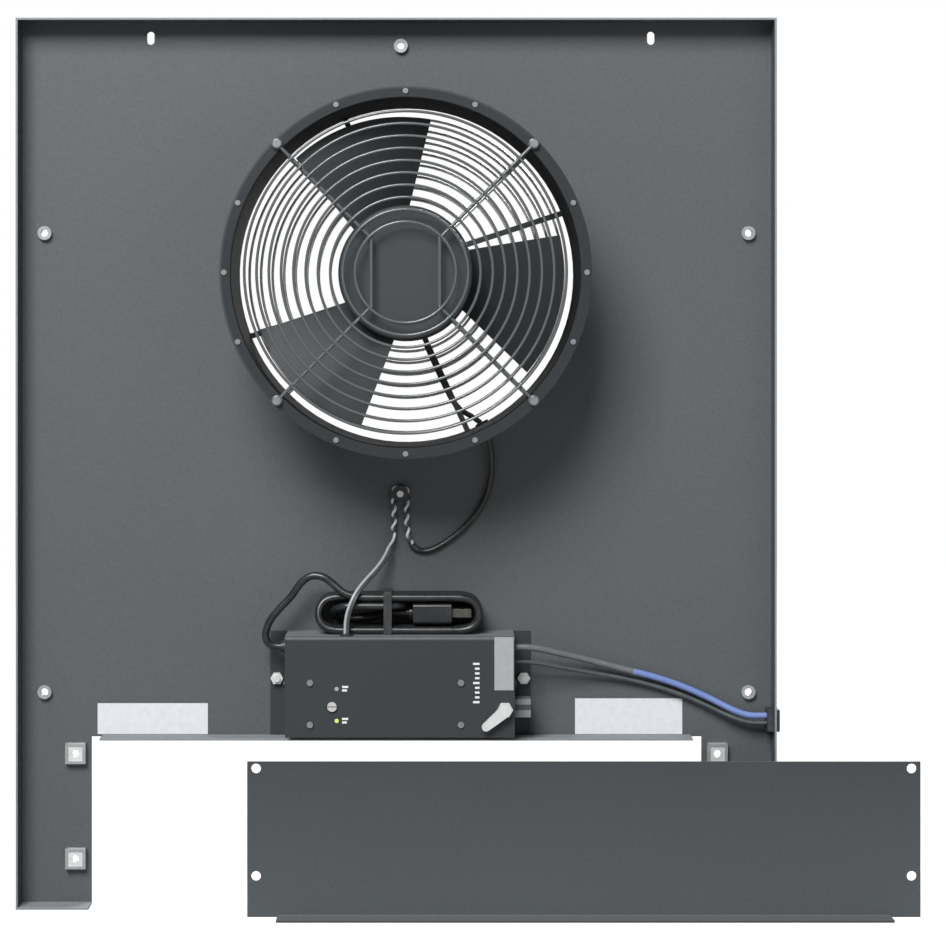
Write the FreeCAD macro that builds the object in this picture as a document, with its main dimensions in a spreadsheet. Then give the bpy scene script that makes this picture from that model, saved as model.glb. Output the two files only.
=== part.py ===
import FreeCAD, Part
import math
import os
import re
import Sketcher
from FreeCAD import Placement, Rotation, Vector

# Rack fan tray: a flanged steel panel that closes a rack cabinet's roof, with an axial fan, a
# temperature controller and a loose cover for its cable cut-out.  Millimetres, +Z up, +X right.
# The inside of the tray faces -Y.  The origin is the centre of the four side clinch nuts'
# rectangle, on the panel's outer face.

doc = FreeCAD.newDocument("RackFanTray")

# ---------------------------------------------------------------- driving dimensions

SIZES = {
    "tray panel": {
        "panel_width": 547,
        "panel_height": 641,
        "sheet_thick": 1.5,
        "flange_depth": 22,
        "bend_radius": 2,
        "cutout_width": 442.6,
        "cutout_height": 121.5,
        "lip_width": 426.6,
    },
    "panel hardware": {
        "side_hole_spacing": 510.4,
        "side_hole_rise": 332.8,
        "top_row_shift": 3.1,
        "top_hole_up": 302.2,
        "slot_up": 308,
        "slot_width": 5.3,
        "slot_height": 9.5,
        "slot_spacing": 363,
        "clinch_bore_radius": 2.7,
        "clinch_shank_radius": 3.6,
        "clinch_collar_radius": 5,
        "clinch_rise": 3.5,
        "rack_hole_spacing": 465.1,
        "rack_hole_rise": 76.2,
        "rack_row_drop": 210.8,
        "square_hole": 9.5,
        "cage_size": 14.8,
        "cage_wall": 0.6,
        "cage_nut_size": 12.4,
        "cage_nut_thick": 4.2,
        "cage_nut_bore_radius": 2.6,
        "press_gap": 0.02,
        "fit_gap": 0.15,
    },
    "fan housing": {
        "fan_x": 7.2,
        "fan_z": 135.9,
        "fan_depth": 89,
        "throat_radius": 121,
        "housing_wall": 1.5,
        "housing_flange_radius": 129.3,
        "housing_flange_thick": 2,
        "bolt_circle_radius": 125.8,
        "fan_screw_radius": 1.5,
        "fan_head_radius": 2.8,
        "fan_head_thick": 1.9,
        "fan_nut_flats": 5.5,
        "fan_nut_thick": 2.4,
        "guard_lug_angle": 45,
        "bolt_pitch_angle": 22.5,
        "rivet_radius": 1.1,
        "rivet_head_radius": 1.9,
        "rivet_head_thick": 0.9,
    },
    "wire guards": {
        "guard_wire_radius": 1,
        "guard_rib_radius": 1.2,
        "guard_sink": 0.3,
        "guard_first_ring": 35,
        "guard_ring_pitch": 8.5,
        "outer_first_ring": 38.6,
        "outer_ring_pitch": 8.4,
        "guard_rib_start": 33.5,
        "outer_rib_start": 35,
    },
    "motor and rotor": {
        "spider_depth": 12,
        "spider_plate_radius": 48,
        "spider_plate_thick": 2.5,
        "strut_width": 4,
        "strut_thick": 5,
        "strut_angle": 21.5,
        "strut_lean": 6,
        "motor_base_radius": 44,
        "motor_base_thick": 4,
        "motor_screw_circle": 36,
        "motor_screw_radius": 2,
        "bearing_tube_radius": 13,
        "bearing_tube_length": 53,
        "bearing_radius": 11,
        "bearing_width": 7,
        "bearing_rear_depth": 24,
        "bearing_front_depth": 62,
        "ball_circle_radius": 7.5,
        "ball_radius": 1.9,
        "ball_gap": 0.05,
        "race_gap": 1.3,
        "shaft_radius": 4,
        "stator_radius": 32,
        "stator_depth": 34,
        "stator_stack": 22,
        "winding_height": 6,
        "winding_radius": 30,
        "winding_bore_radius": 16,
        "air_gap": 0.8,
        "cup_radius": 47,
        "cup_wall": 3,
        "cup_rear_depth": 26,
        "cup_front_depth": 82,
        "cup_boss_radius": 11,
        "cup_boss_length": 6,
        "hub_cap_radius": 35.5,
        "hub_cap_thick": 2,
        "blade_tip_radius": 111,
        "blade_thick": 1.8,
        "blade_angle": 107.3,
        "blade_width_angle": 53,
        "blade_skew_angle": 6.5,
        "blade_mid_depth": 56,
        "blade_pitch_depth": 30,
        "blade_camber": 4,
    },
    "controller": {
        "box_x": 2.8,
        "box_top_drop": 121.8,
        "box_width": 163.2,
        "box_height": 71.7,
        "box_depth": 43,
        "box_wall": 1.2,
        "ear_length": 12.8,
        "ear_overhang": 3.8,
        "ear_screw_offset": 7.9,
        "ear_screw_rise": 1.45,
        "ear_stud_radius": 2.5,
        "ear_stud_length": 9,
        "ear_nut_flats": 8,
        "ear_nut_thick": 4,
        "lid_lip_depth": 10,
        "lid_screw_radius": 1.5,
        "lid_screw_setback": 6,
        "board_width": 125,
        "board_height": 45,
        "board_thick": 1.6,
        "board_gap": 8,
        "board_margin": 8.9,
        "board_lift": 25.6,
        "board_screw_spacing": 107.2,
        "board_screw_rise": 29.8,
        "board_screw_drop": 1.4,
        "board_screw_radius": 1.25,
        "spacer_radius": 3,
        "trimmer_left": 37.9,
        "trimmer_below": 3.5,
        "trimmer_size": 10,
        "trimmer_knob_radius": 3.4,
        "trimmer_knob_rise": 1.8,
        "led_left": 34.6,
        "led_above": 9.2,
        "led_rise": 22.7,
        "led_radius": 1.5,
        "led_rise_out": 0.8,
        "selector_inset": 6.9,
        "selector_lift": 19.8,
        "selector_size": 8,
        "selector_body_depth": 14,
        "bushing_radius": 3.5,
        "bushing_rise": 3.2,
        "selector_nut_flats": 10,
        "selector_nut_thick": 2.4,
        "spindle_radius": 2,
        "spindle_gap": 0.06,
        "lever_length": 17.7,
        "lever_angle": 220,
        "lever_hub_radius": 4.4,
        "lever_tip_radius": 3,
        "lever_thick": 3.4,
        "socket_width": 12,
        "socket_height": 13,
        "socket_depth": 18,
        "socket_drop": 46.2,
    },
    "controller inside": {
        "core_width": 42,
        "core_height": 35,
        "core_thick": 14,
        "core_limb": 8,
        "core_inset": 31.8,
        "core_drop": 37,
        "coil_thick": 21,
        "part_gap": 0.2,
        "relay_size": 15,
        "relay_right": 7.4,
        "relay_below": 0.9,
        "capacitor_radius": 5,
        "capacitor_length": 16,
        "capacitor_right": 29.4,
        "capacitor_pitch": 13,
        "capacitor_below": 0.9,
        "terminal_width": 40,
        "terminal_height": 10,
        "terminal_thick": 13,
        "terminal_inset": 38.4,
        "terminal_drop": 16,
        "terminal_well_radius": 1.9,
    },
    "cords and clips": {
        "lead_radius": 2.2,
        "post_x": 2.7,
        "post_z": -22.5,
        "post_radius": 2.3,
        "post_cap_radius": 6,
        "post_cap_thick": 1.2,
        "post_screw_radius": 1.2,
        "post_screw_head_radius": 2.4,
        "lead_exit_angle": -63,
        "lead_exit_depth": 8.6,
        "bushing_wall": 1.5,
        "bushing_flange": 1.4,
        "cord_radius": 2.75,
        "gland_radius": 5.5,
        "gland_reach": 4,
        "gland_drop": 9.4,
        "gland_depth": 22,
        "lead_entry_x": -35.3,
        "lead_entry_depth": 38,
        "hank_left": -58,
        "hank_right": 62,
        "hank_core_right": 9,
        "hank_height": 29,
        "hank_strand": 5.75,
        "hank_end_radius": 11,
        "hank_back_depth": 3,
        "hank_front_depth": 32.5,
        "tie_x": -6,
        "tie_width": 6,
        "tie_thick": 1.2,
        "plug_relief_length": 3,
        "plug_relief_radius": 4.5,
        "plug_length": 28,
        "plug_height": 15.2,
        "plug_depth": 24,
        "plug_blade_length": 14,
        "plug_blade_width": 6.3,
        "plug_blade_thick": 1.5,
        "plug_blade_spacing": 12.7,
        "cable_radius": 2.3,
        "wire_radius": 1.5,
        "cable_exit_drop": 10,
        "wire_exit_drop": 20.5,
        "coupler_size": 12,
        "coupler_collar": 16,
        "coupler_collar_thick": 5,
        "coupler_lip_thick": 2.5,
        "coupler_drop": 185,
        "coupler_depth": 12,
    },
    "labels": {
        "label_thick": 0.2,
        "left_label_x": -177,
        "left_label_drop": 174.8,
        "left_label_width": 80,
        "left_label_height": 22.4,
        "right_label_x": 168.5,
        "right_label_drop": 171.3,
        "right_label_width": 77.8,
        "right_label_height": 25.9,
        "box_label_inset": 7.6,
        "box_label_width": 13.6,
        "box_label_height": 37.8,
    },
    "cover panel": {
        "cover_width": 477.8,
        "cover_height": 110.4,
        "cover_x": 133.4,
        "cover_depth": 44.5,
        "cover_flange_width": 435,
        "cover_flange_depth": 20,
        "cover_hole_inset": 5,
        "cover_hole_radius": 3.4,
    },
}

# Places worked out from the sizes.  Depths grow towards -Y, drops towards -Z.
PLACES = {
    "inner_face": "-sheet_thick",
    "half_width": "panel_width / 2",
    "half_height": "panel_height / 2",
    "flange_tip": "-flange_depth",
    "cut_half": "cutout_width / 2",
    "cut_top": "cutout_height - half_height",
    "lip_half": "lip_width / 2",
    "lip_top": "cut_top + sheet_thick",
    "wall_half": "half_width - sheet_thick",
    "wall_height": "half_height - sheet_thick",
    "side_half": "side_hole_spacing / 2",
    "side_rise_half": "side_hole_rise / 2",
    "clinch_hole_radius": "clinch_shank_radius + press_gap",
    "rack_half": "rack_hole_spacing / 2",
    "rack_upper": "-rack_row_drop",
    "rack_lower": "-rack_row_drop - rack_hole_rise",
    "square_half": "square_hole / 2",
    "slot_straight": "(slot_height - slot_width) / 2",
    "slot_left": "top_row_shift - slot_spacing / 2",
    "slot_right": "top_row_shift + slot_spacing / 2",
    "housing_outer_radius": "throat_radius + housing_wall",
    "housing_front": "inner_face - fan_depth",
    "front_flange_back": "housing_front + housing_flange_thick",
    "rear_flange_front": "inner_face - housing_flange_thick",
    "fan_hole_radius": "fan_screw_radius + fit_gap",
    "guard_eye_radius": "fan_hole_radius + guard_rib_radius",
    "guard_rib_end": "bolt_circle_radius - guard_eye_radius",
    "front_rib_y": "housing_front - guard_rib_radius",
    "front_ring_y": "front_rib_y - guard_rib_radius - guard_wire_radius + guard_sink",
    "outer_ring_y": "2 * guard_rib_radius + guard_wire_radius - guard_sink",
    "front_seat": "housing_front - 2 * guard_rib_radius",
    "spider_rear": "-spider_depth",
    "spider_plate_front": "spider_rear - spider_plate_thick",
    "motor_base_front": "spider_plate_front - motor_base_thick",
    "stator_rear": "-stator_depth",
    "stator_front": "stator_rear - stator_stack",
    "cup_inner_radius": "cup_radius - cup_wall",
    "cup_front": "-cup_front_depth",
    "cage_radius": "stator_radius + air_gap",
    "box_left": "box_x - box_width / 2",
    "box_right": "box_x + box_width / 2",
    "box_top": "-box_top_drop",
    "box_bottom": "box_top - box_height",
    "base_front": "inner_face - box_wall",
    "lid_front": "inner_face - box_depth",
    "lid_back": "lid_front + box_wall",
    "ear_z": "(box_top + box_bottom) / 2 + ear_screw_rise",
    "ear_bottom": "box_bottom - ear_overhang",
    "ear_left": "box_left - ear_screw_offset",
    "ear_right": "box_right + ear_screw_offset",
    "board_front": "lid_back + board_gap",
    "board_back": "board_front + board_thick",
    "board_x": "box_left + board_margin + board_width / 2",
    "board_z": "box_bottom + board_lift",
    "board_screw_hole": "board_screw_radius + fit_gap",
    "trimmer_x": "board_x - trimmer_left",
    "trimmer_z": "board_z - trimmer_below",
    "knob_seat": "board_front - trimmer_size / 2",
    "led_x": "board_x - led_left",
    "led_upper": "board_z + led_above",
    "led_lower": "led_upper - led_rise",
    "selector_x": "box_right - selector_inset",
    "selector_z": "box_bottom + selector_lift",
    "core_x": "box_left + core_inset",
    "relay_x": "board_x + relay_right",
    "relay_z": "board_z - relay_below",
    "capacitor_x": "board_x + capacitor_right",
    "capacitor_z": "board_z - capacitor_below",
    "terminal_x": "box_right - terminal_inset",
    "box_label_x": "box_right - box_label_inset",
    "lever_back": "lid_front - bushing_rise - fit_gap",
    "core_z": "box_top - core_drop",
    "core_rear": "base_front - (coil_thick - core_thick) / 2",
    "coil_front": "base_front - coil_thick",
    "limb_half": "core_limb * 0.75",
    "window_half": "core_width / 2 - core_limb",
    "window_height": "core_height / 2 - core_limb",
    "lead_exit_y": "-lead_exit_depth",
    "lead_y": "inner_face - lead_radius - fit_gap",
    "post_cap_back": "inner_face - 2 * lead_radius - 2 * fit_gap",
    "post_cap_front": "post_cap_back - post_cap_thick",
    "gland_y": "-gland_depth",
    "gland_z": "box_top - gland_drop",
    "gland_end": "box_left - gland_reach",
    "lead_entry_y": "-lead_entry_depth",
    "hank_bottom": "box_top + fit_gap",
    "hank_top": "hank_bottom + hank_height",
    "hank_z": "(hank_bottom + hank_top) / 2",
    "window_right": "hank_right - hank_strand",
    "plug_left": "hank_core_right + plug_relief_length",
    "plug_right": "plug_left + plug_length",
    "hank_back": "-hank_back_depth",
    "hank_front": "-hank_front_depth",
    "hank_y": "(hank_back + hank_front) / 2",
    "cable_exit_z": "box_top - cable_exit_drop",
    "wire_exit_z": "box_top - wire_exit_drop",
    "coupler_z": "-coupler_drop",
    "coupler_y": "-coupler_depth",
    "coupler_inner": "wall_half - coupler_collar_thick",
    "label_front": "inner_face - label_thick",
    "cover_left": "cover_x - cover_width / 2",
    "cover_right": "cover_x + cover_width / 2",
    "cover_bottom": "-half_height",
    "cover_top": "cover_bottom + cover_height",
    "cover_back": "-cover_depth",
    "cover_front": "cover_back - sheet_thick",
    "cover_hole_left": "cover_x - rack_hole_spacing / 2",
    "cover_hole_right": "cover_x + rack_hole_spacing / 2",
    "cover_hole_upper": "cover_top - cover_hole_inset",
    "cover_hole_lower": "cover_hole_upper - rack_hole_rise",
}

sizes = doc.addObject("Spreadsheet::Sheet", "Sizes")
places = doc.addObject("Spreadsheet::Sheet", "Places")
SHEET_OF = {name: "Sizes." for group in SIZES.values() for name in group}
SHEET_OF.update({name: "Places." for name in PLACES})


def cells(text):
    """The text with each size and place written as its cell in the two sheets."""
    return re.sub(r"[a-z][a-z_]+", lambda word: SHEET_OF.get(word[0], "") + word[0], text)


def value(name):
    """The number that a size or a place has now, or its opposite for a name after a minus."""
    if name.startswith("-"):
        return -value(name[1:])
    sheet = sizes if SHEET_OF[name] == "Sizes." else places
    return float(sheet.get(name))


def fill_sheets():
    """Writes the driving sizes and the places that follow from them."""
    row = 1
    for group, members in SIZES.items():
        sizes.set(f"A{row}", group)
        for name, number in members.items():
            row += 1
            sizes.set(f"A{row}", name)
            sizes.set(f"B{row}", str(number))
            sizes.setAlias(f"B{row}", name)
        row += 2
    for row, (name, text) in enumerate(PLACES.items(), start=1):
        places.set(f"A{row}", name)
        places.set(f"B{row}", "=" + cells(text))
        places.setAlias(f"B{row}", name)
    doc.recompute()


fill_sheets()

# ---------------------------------------------------------------- building blocks

nodes = {}
TURNS = {
    "+X": Rotation(Vector(0, 1, 0), 90),
    "-X": Rotation(Vector(0, 1, 0), -90),
    "+Y": Rotation(Vector(1, 0, 0), -90),
    "-Y": Rotation(Vector(1, 0, 0), 90),
    "+Z": Rotation(),
}


def node(label, piece):
    """Registers the finished object of one sub-part under its label."""
    piece.Label = label
    nodes[label] = piece
    return piece


def bind(piece, **links):
    """Ties properties of an object to expressions of sizes and places."""
    for name, text in links.items():
        piece.setExpression(name, cells(text))


def put(piece, x, y, z, turn=Rotation()):
    """Turns an object and ties its position to three expressions."""
    piece.Placement = Placement(Vector(), turn)
    for axis, text in zip("xyz", (x, y, z)):
        piece.setExpression(f"Placement.Base.{axis}", cells(text))
    return piece


def box(name, x, y, z):
    """A box between two expressions along each axis, given as (low, high) pairs."""
    piece = doc.addObject("Part::Box", name)
    lengths = [f"({high}) - ({low})" for low, high in (x, y, z)]
    bind(piece, Length=lengths[0], Width=lengths[1], Height=lengths[2])
    return put(piece, x[0], y[0], z[0])


def middle(centre, size):
    """The (low, high) pair of a size centred on a place."""
    return (f"{centre} - ({size}) / 2", f"{centre} + ({size}) / 2")


def rod(name, way, start, radius, length):
    """A cylinder from its start point along one of the axes."""
    piece = doc.addObject("Part::Cylinder", name)
    bind(piece, Radius=radius, Height=length)
    return put(piece, *start, TURNS[way])


def hexagon(name, way, start, flats, length):
    """A hexagonal prism of a size across flats, from its start point along an axis."""
    piece = doc.addObject("Part::Prism", name)
    piece.Polygon = 6
    bind(piece, Circumradius=f"({flats}) / sqrt(3)", Height=length)
    return put(piece, *start, TURNS[way])


def ring(name, centre, radius, wire):
    """A torus about a line along Y."""
    piece = doc.addObject("Part::Torus", name)
    bind(piece, Radius1=radius, Radius2=wire)
    return put(piece, *centre, TURNS["-Y"])


def fuse(name, *shapes):
    piece = doc.addObject("Part::MultiFuse", name)
    piece.Shapes = list(shapes)
    return piece


def group(name, *members):
    """Separate solids that share one object."""
    piece = doc.addObject("Part::Compound", name)
    piece.Links = list(members)
    return piece


def cut(name, base, *tools):
    piece = doc.addObject("Part::Cut", name)
    piece.Base = base
    piece.Tool = tools[0] if len(tools) == 1 else fuse(name + "Tools", *tools)
    return piece


def drilled(name, base, holes):
    """A piece with many holes that don't touch each other."""
    piece = doc.addObject("Part::Cut", name)
    piece.Base = base
    piece.Tool = group(name + "Holes", *holes)
    return piece


def feature(name, shape):
    """A free shape, for pieces that no parametric feature makes."""
    piece = doc.addObject("Part::Feature", name)
    piece.Shape = shape
    return piece


def polar(radius, angle):
    """The (x, z) expressions of a point about the fan's axis, counted anticlockwise."""
    return f"fan_x + ({radius}) * cos({angle})", f"fan_z + ({radius}) * sin({angle})"


def origin_plane(owner, role):
    return next(plane for plane in owner.Origin.OriginFeatures if plane.Role == role)


def new_sketch(owner, name, role):
    sketch = owner.newObject("Sketcher::SketchObject", name)
    sketch.AttachmentSupport = (origin_plane(owner, role), [""])
    sketch.MapMode = "FlatFace"
    return sketch


def hold(sketch, kind, *where):
    """Adds a constraint driven by a size or a place, named last in the call."""
    name = where[-1]
    index = sketch.addConstraint(Sketcher.Constraint(kind, *where[:-1], value(name)))
    sketch.setExpression(f"Constraints[{index}]", cells(name))


def outline(sketch, corners):
    """A closed outline, each corner held by its two distances from the origin."""
    first = sketch.GeometryCount
    count = len(corners)
    points = [Vector(value(u), value(v), 0) for u, v in corners]
    for index, point in enumerate(points):
        sketch.addGeometry(Part.LineSegment(point, points[(index + 1) % count]))
    for index in range(count):
        after = first + (index + 1) % count
        sketch.addConstraint(Sketcher.Constraint("Coincident", first + index, 2, after, 1))
    for index, (u, v) in enumerate(corners):
        hold(sketch, "DistanceX", -1, 1, first + index, 1, u)
        hold(sketch, "DistanceY", -1, 1, first + index, 1, v)


def circle(sketch, u, v, radius):
    """A circle whose centre and radius are driven."""
    index = sketch.GeometryCount
    centre = Vector(value(u), value(v), 0)
    sketch.addGeometry(Part.Circle(centre, Vector(0, 0, 1), value(radius)))
    hold(sketch, "DistanceX", -1, 1, index, 3, u)
    hold(sketch, "DistanceY", -1, 1, index, 3, v)
    hold(sketch, "Radius", index, radius)


def pad(owner, name, sketch, length):
    """A sketch on the XZ plane, thickened towards -Y."""
    result = owner.newObject("PartDesign::Pad", name)
    result.Profile = sketch
    bind(result, Length=length)
    doc.recompute()
    return result


def pocket(owner, name, sketch, length):
    """A cut from a sketch on the XZ plane towards -Y."""
    before = owner.Tip.Shape.Volume
    result = owner.newObject("PartDesign::Pocket", name)
    result.Profile = sketch
    result.Reversed = True
    bind(result, Length=length)
    doc.recompute()
    if result.Shape.Volume >= before:
        raise RuntimeError(f"{name} cuts nothing")
    return result


def revolve(owner, name, corners):
    """A full turn of an outline in the XY plane about the Y axis."""
    sketch = new_sketch(owner, name + "Profile", "XY_Plane")
    outline(sketch, corners)
    result = owner.newObject("PartDesign::Revolution", name)
    result.Profile = sketch
    result.ReferenceAxis = (sketch, ["V_Axis"])
    result.Angle = 360
    doc.recompute()
    return result


def round_edges(owner, name, base, radius, chosen):
    """Fillets the edges of a feature for which chosen(edge) is true."""
    edges = [f"Edge{i}" for i, edge in enumerate(base.Shape.Edges, 1) if chosen(edge)]
    result = owner.newObject("PartDesign::Fillet", name)
    result.Base = (base, edges)
    bind(result, Radius=radius)
    doc.recompute()
    return result


# ---------------------------------------------------------------- tray panel

def tray_panel():
    """The U-shaped sheet with its flanges, cable cut-out, fan hole and fixing holes."""
    owner = doc.addObject("PartDesign::Body", "TrayBody")
    sheet = new_sketch(owner, "TraySheet", "XZ_Plane")
    outline(sheet, [
        ("-half_width", "-half_height"), ("-cut_half", "-half_height"), ("-cut_half", "cut_top"),
        ("cut_half", "cut_top"), ("cut_half", "-half_height"), ("half_width", "-half_height"),
        ("half_width", "half_height"), ("-half_width", "half_height"),
    ])
    block = pad(owner, "TrayDepth", sheet, "flange_depth")
    edge_x = value("half_width")
    edge_z = value("half_height")

    def is_bend(edge):
        middle_point = edge.BoundBox.Center
        at_rim = abs(abs(middle_point.x) - edge_x) < 0.01 or abs(abs(middle_point.z) - edge_z) < 0.01
        return at_rim and abs(middle_point.y) < 0.01 and edge.BoundBox.YLength < 0.01

    round_edges(owner, "TrayBends", block, "bend_radius", is_bend)
    inside = new_sketch(owner, "TrayInside", "XZ_Plane")
    inside.AttachmentOffset = Placement(Vector(0, 0, value("sheet_thick")), Rotation())
    inside.setExpression("AttachmentOffset.Base.z", cells("sheet_thick"))
    outline(inside, [
        ("-wall_half", "-wall_height"), ("-cut_half", "-wall_height"), ("-cut_half", "cut_top"),
        ("-lip_half", "cut_top"), ("-lip_half", "lip_top"), ("lip_half", "lip_top"),
        ("lip_half", "cut_top"), ("cut_half", "cut_top"), ("cut_half", "-wall_height"),
        ("wall_half", "-wall_height"), ("wall_half", "wall_height"), ("-wall_half", "wall_height"),
    ])
    pocket(owner, "TrayHollow", inside, "flange_depth")
    holes = new_sketch(owner, "TrayHoles", "XZ_Plane")
    circle(holes, "fan_x", "fan_z", "throat_radius")
    for x, z in side_holes():
        circle(holes, x, z, "clinch_hole_radius")
    pocket(owner, "TrayPierced", holes, "sheet_thick")

    tools = []
    for x in ("slot_left", "slot_right"):
        for way in "-+":
            end = f"slot_up {way} slot_straight"
            tools.append(rod("SlotEnd", "-Y", (x, "0", end), "slot_width / 2", "sheet_thick"))
        upright = middle("slot_up", "2 * slot_straight")
        tools.append(box("SlotMiddle", middle(x, "slot_width"), ("inner_face", "0"), upright))
    slots = fuse("TopSlots", *tools)
    small = [slots]
    for x, z in rack_holes():
        hole = box("RackHole", middle(x, "square_hole"), ("inner_face", "0"), middle(z, "square_hole"))
        small.append(hole)
    for angle in fan_mount_angles():
        x, z = polar("bolt_circle_radius", angle)
        small.append(rod("FanScrewHole", "-Y", (x, "0", z), "fan_hole_radius", "sheet_thick"))
    for x in ("ear_left", "ear_right"):
        radius = "ear_stud_radius + press_gap"
        small.append(rod("EarStudHole", "-Y", (x, "0", "ear_z"), radius, "sheet_thick"))
    post = ("post_x", "0", "post_z")
    small.append(rod("PostScrewHole", "-Y", post, "post_screw_radius + press_gap", "sheet_thick"))
    side = "coupler_size + 2 * press_gap"
    small.append(box("CouplerHole", ("wall_half", "half_width"), middle("coupler_y", side),
                     middle("coupler_z", side)))
    node("tray_panel", drilled("TrayPanel", owner, small))


def side_holes():
    """The five clinch nuts: two on each side and one at the top."""
    corners = [(x, z) for x in ("-side_half", "side_half") for z in ("-side_rise_half", "side_rise_half")]
    return corners + [("top_row_shift", "top_hole_up")]


def rack_holes():
    """The four square holes that the cover panel or a rack panel is screwed to."""
    return [(x, z) for x in ("-rack_half", "rack_half") for z in ("rack_upper", "rack_lower")]


def fan_mount_angles():
    """The eight rear flange screws: four in the guard lugs and four between them."""
    return [f"guard_lug_angle * {k}" for k in range(8)]


def guard_lug_angles():
    return [f"guard_lug_angle * {k}" for k in (1, 3, 5, 7)]


def panel_hardware():
    """Clinch nuts in the round holes, cages and square nuts in the square ones."""
    clinch = []
    for x, z in side_holes():
        collar = rod("ClinchCollar", "-Y", (x, "inner_face", z), "clinch_collar_radius", "clinch_rise")
        shank = rod("ClinchShank", "-Y", (x, "0", z), "clinch_shank_radius", "sheet_thick")
        bore = rod("ClinchBore", "-Y", (x, "0", z), "clinch_bore_radius", "sheet_thick + clinch_rise")
        clinch.append(cut("ClinchNut", fuse("ClinchBlank", collar, shank), bore))
    node("side_clinch_nuts", group("SideClinchNuts", *clinch))

    cages = []
    nuts = []
    depth = "cage_nut_thick + 2 * cage_wall + 2 * press_gap"
    pocket_size = "cage_nut_size + 2 * fit_gap"
    seat = "inner_face - cage_wall - press_gap"
    for x, z in rack_holes():
        shell = box("CageShell", middle(x, "cage_size"), (f"inner_face - ({depth})", "inner_face"),
                    middle(z, "cage_size"))
        room = box("CageRoom", middle(x, pocket_size),
                   (f"{seat} - cage_nut_thick - press_gap", f"{seat} + press_gap"), middle(z, pocket_size))
        window = box("CageWindow", middle(x, "cage_nut_size - 2"),
                     (f"inner_face - ({depth})", "inner_face"), middle(z, "cage_nut_size - 2"))
        slot = box("CageSlot", middle(x, pocket_size),
                   (f"{seat} - cage_nut_thick - press_gap", f"{seat} + press_gap"),
                   (f"{z}", f"{z} + cage_size"))
        wings = []
        for way in "-+":
            inner = f"{x} {way} (square_half - press_gap - cage_wall / 2)"
            wings.append(box("CageWing", middle(inner, "cage_wall"),
                             ("inner_face - cage_wall", "cage_wall"), middle(z, "square_half")))
            hook = f"{x} {way} square_half"
            wings.append(box("CageHook", middle(hook, "3 * cage_wall"), ("press_gap", "cage_wall"),
                             middle(z, "square_half")))
        hollow = cut("CageHollow", shell, room, window, slot)
        bridge = []
        for way in "-+":
            at = f"{x} {way} (square_half - press_gap + cage_wall / 2)"
            bridge.append(box("CageBridge", middle(at, "2 * cage_wall"),
                              ("inner_face - cage_wall", "inner_face"), middle(z, "square_half")))
        cages.append(fuse("Cage", hollow, *wings, *bridge))
        square = box("NutBlock", middle(x, "cage_nut_size"), (f"{seat} - cage_nut_thick", seat),
                     middle(z, "cage_nut_size"))
        bore = rod("NutBore", "-Y", (x, seat, z), "cage_nut_bore_radius", "cage_nut_thick")
        nuts.append(cut("CageNut", square, bore))
    node("nut_cages", group("NutCages", *cages))
    node("cage_nuts", group("CageNuts", *nuts))


# ---------------------------------------------------------------- fan housing and guards

def fan_housing():
    """The spun steel ring: a straight throat with a flange at each end."""
    owner = doc.addObject("PartDesign::Body", "HousingBody")
    put(owner, "fan_x", "0", "fan_z")
    revolve(owner, "HousingTurn", [
        ("throat_radius", "inner_face"), ("housing_flange_radius", "inner_face"),
        ("housing_flange_radius", "rear_flange_front"), ("housing_outer_radius", "rear_flange_front"),
        ("housing_outer_radius", "front_flange_back"), ("housing_flange_radius", "front_flange_back"),
        ("housing_flange_radius", "housing_front"), ("throat_radius", "housing_front"),
    ])
    holes = []
    for angle in fan_mount_angles():
        x, z = polar("bolt_circle_radius", angle)
        holes.append(rod("RearHole", "-Y", (x, "inner_face", z), "fan_hole_radius",
                         "housing_flange_thick"))
    for angle in guard_lug_angles():
        x, z = polar("bolt_circle_radius", angle)
        holes.append(rod("FrontHole", "-Y", (x, "front_flange_back", z), "fan_hole_radius",
                         "housing_flange_thick"))
    for angle in flange_rivet_angles():
        x, z = polar("bolt_circle_radius", angle)
        holes.append(rod("RivetHole", "-Y", (x, "front_flange_back", z), "rivet_radius + press_gap",
                         "housing_flange_thick"))
    x, z = polar("throat_radius - housing_wall", "lead_exit_angle")
    lead_hole = rod("LeadHole", "+X", (x, "lead_exit_y", z),
                    "lead_radius + fit_gap + bushing_wall + press_gap", "4 * housing_wall")
    lead_hole.Placement.Rotation = lead_exit_turn()
    holes.append(lead_hole)
    node("fan_housing", drilled("FanHousing", owner, holes))

    rivets = []
    for angle in flange_rivet_angles():
        x, z = polar("bolt_circle_radius", angle)
        shank = rod("RivetShank", "-Y", (x, "front_flange_back", z), "rivet_radius",
                    "housing_flange_thick")
        head = rod("RivetHead", "-Y", (x, "housing_front", z), "rivet_head_radius", "rivet_head_thick")
        rivets.append(fuse("FlangeRivet", shank, head))
    node("flange_rivets", group("FlangeRivets", *rivets))


def lead_exit_turn():
    """Turns +Z outward along the fan radius on which the fan's lead leaves."""
    angle = math.radians(value("lead_exit_angle"))
    return Rotation(Vector(0, 0, 1), Vector(math.cos(angle), 0, math.sin(angle)))


def flange_rivet_angles():
    """Twelve of the flange's sixteen holes: all but the four that hold the guard."""
    return [f"bolt_pitch_angle * {k}" for k in range(16) if k % 4 != 2]


def guard_bend(lower, upper, rib_y):
    """The middle of a bent rib: a straight length between two knees, past the open centre."""
    x, low = polar("guard_rib_start", f"guard_lug_angle * {lower}")
    high = polar("guard_rib_start", f"guard_lug_angle * {upper}")[1]
    parts = [rod("GuardBar", "+Z", (x, rib_y, low), "guard_rib_radius", f"({high}) - ({low})")]
    for z in (low, high):
        knee = doc.addObject("Part::Sphere", "GuardKnee")
        bind(knee, Radius="guard_rib_radius + 0.1")
        parts.append(put(knee, x, rib_y, z))
    return parts


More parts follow.
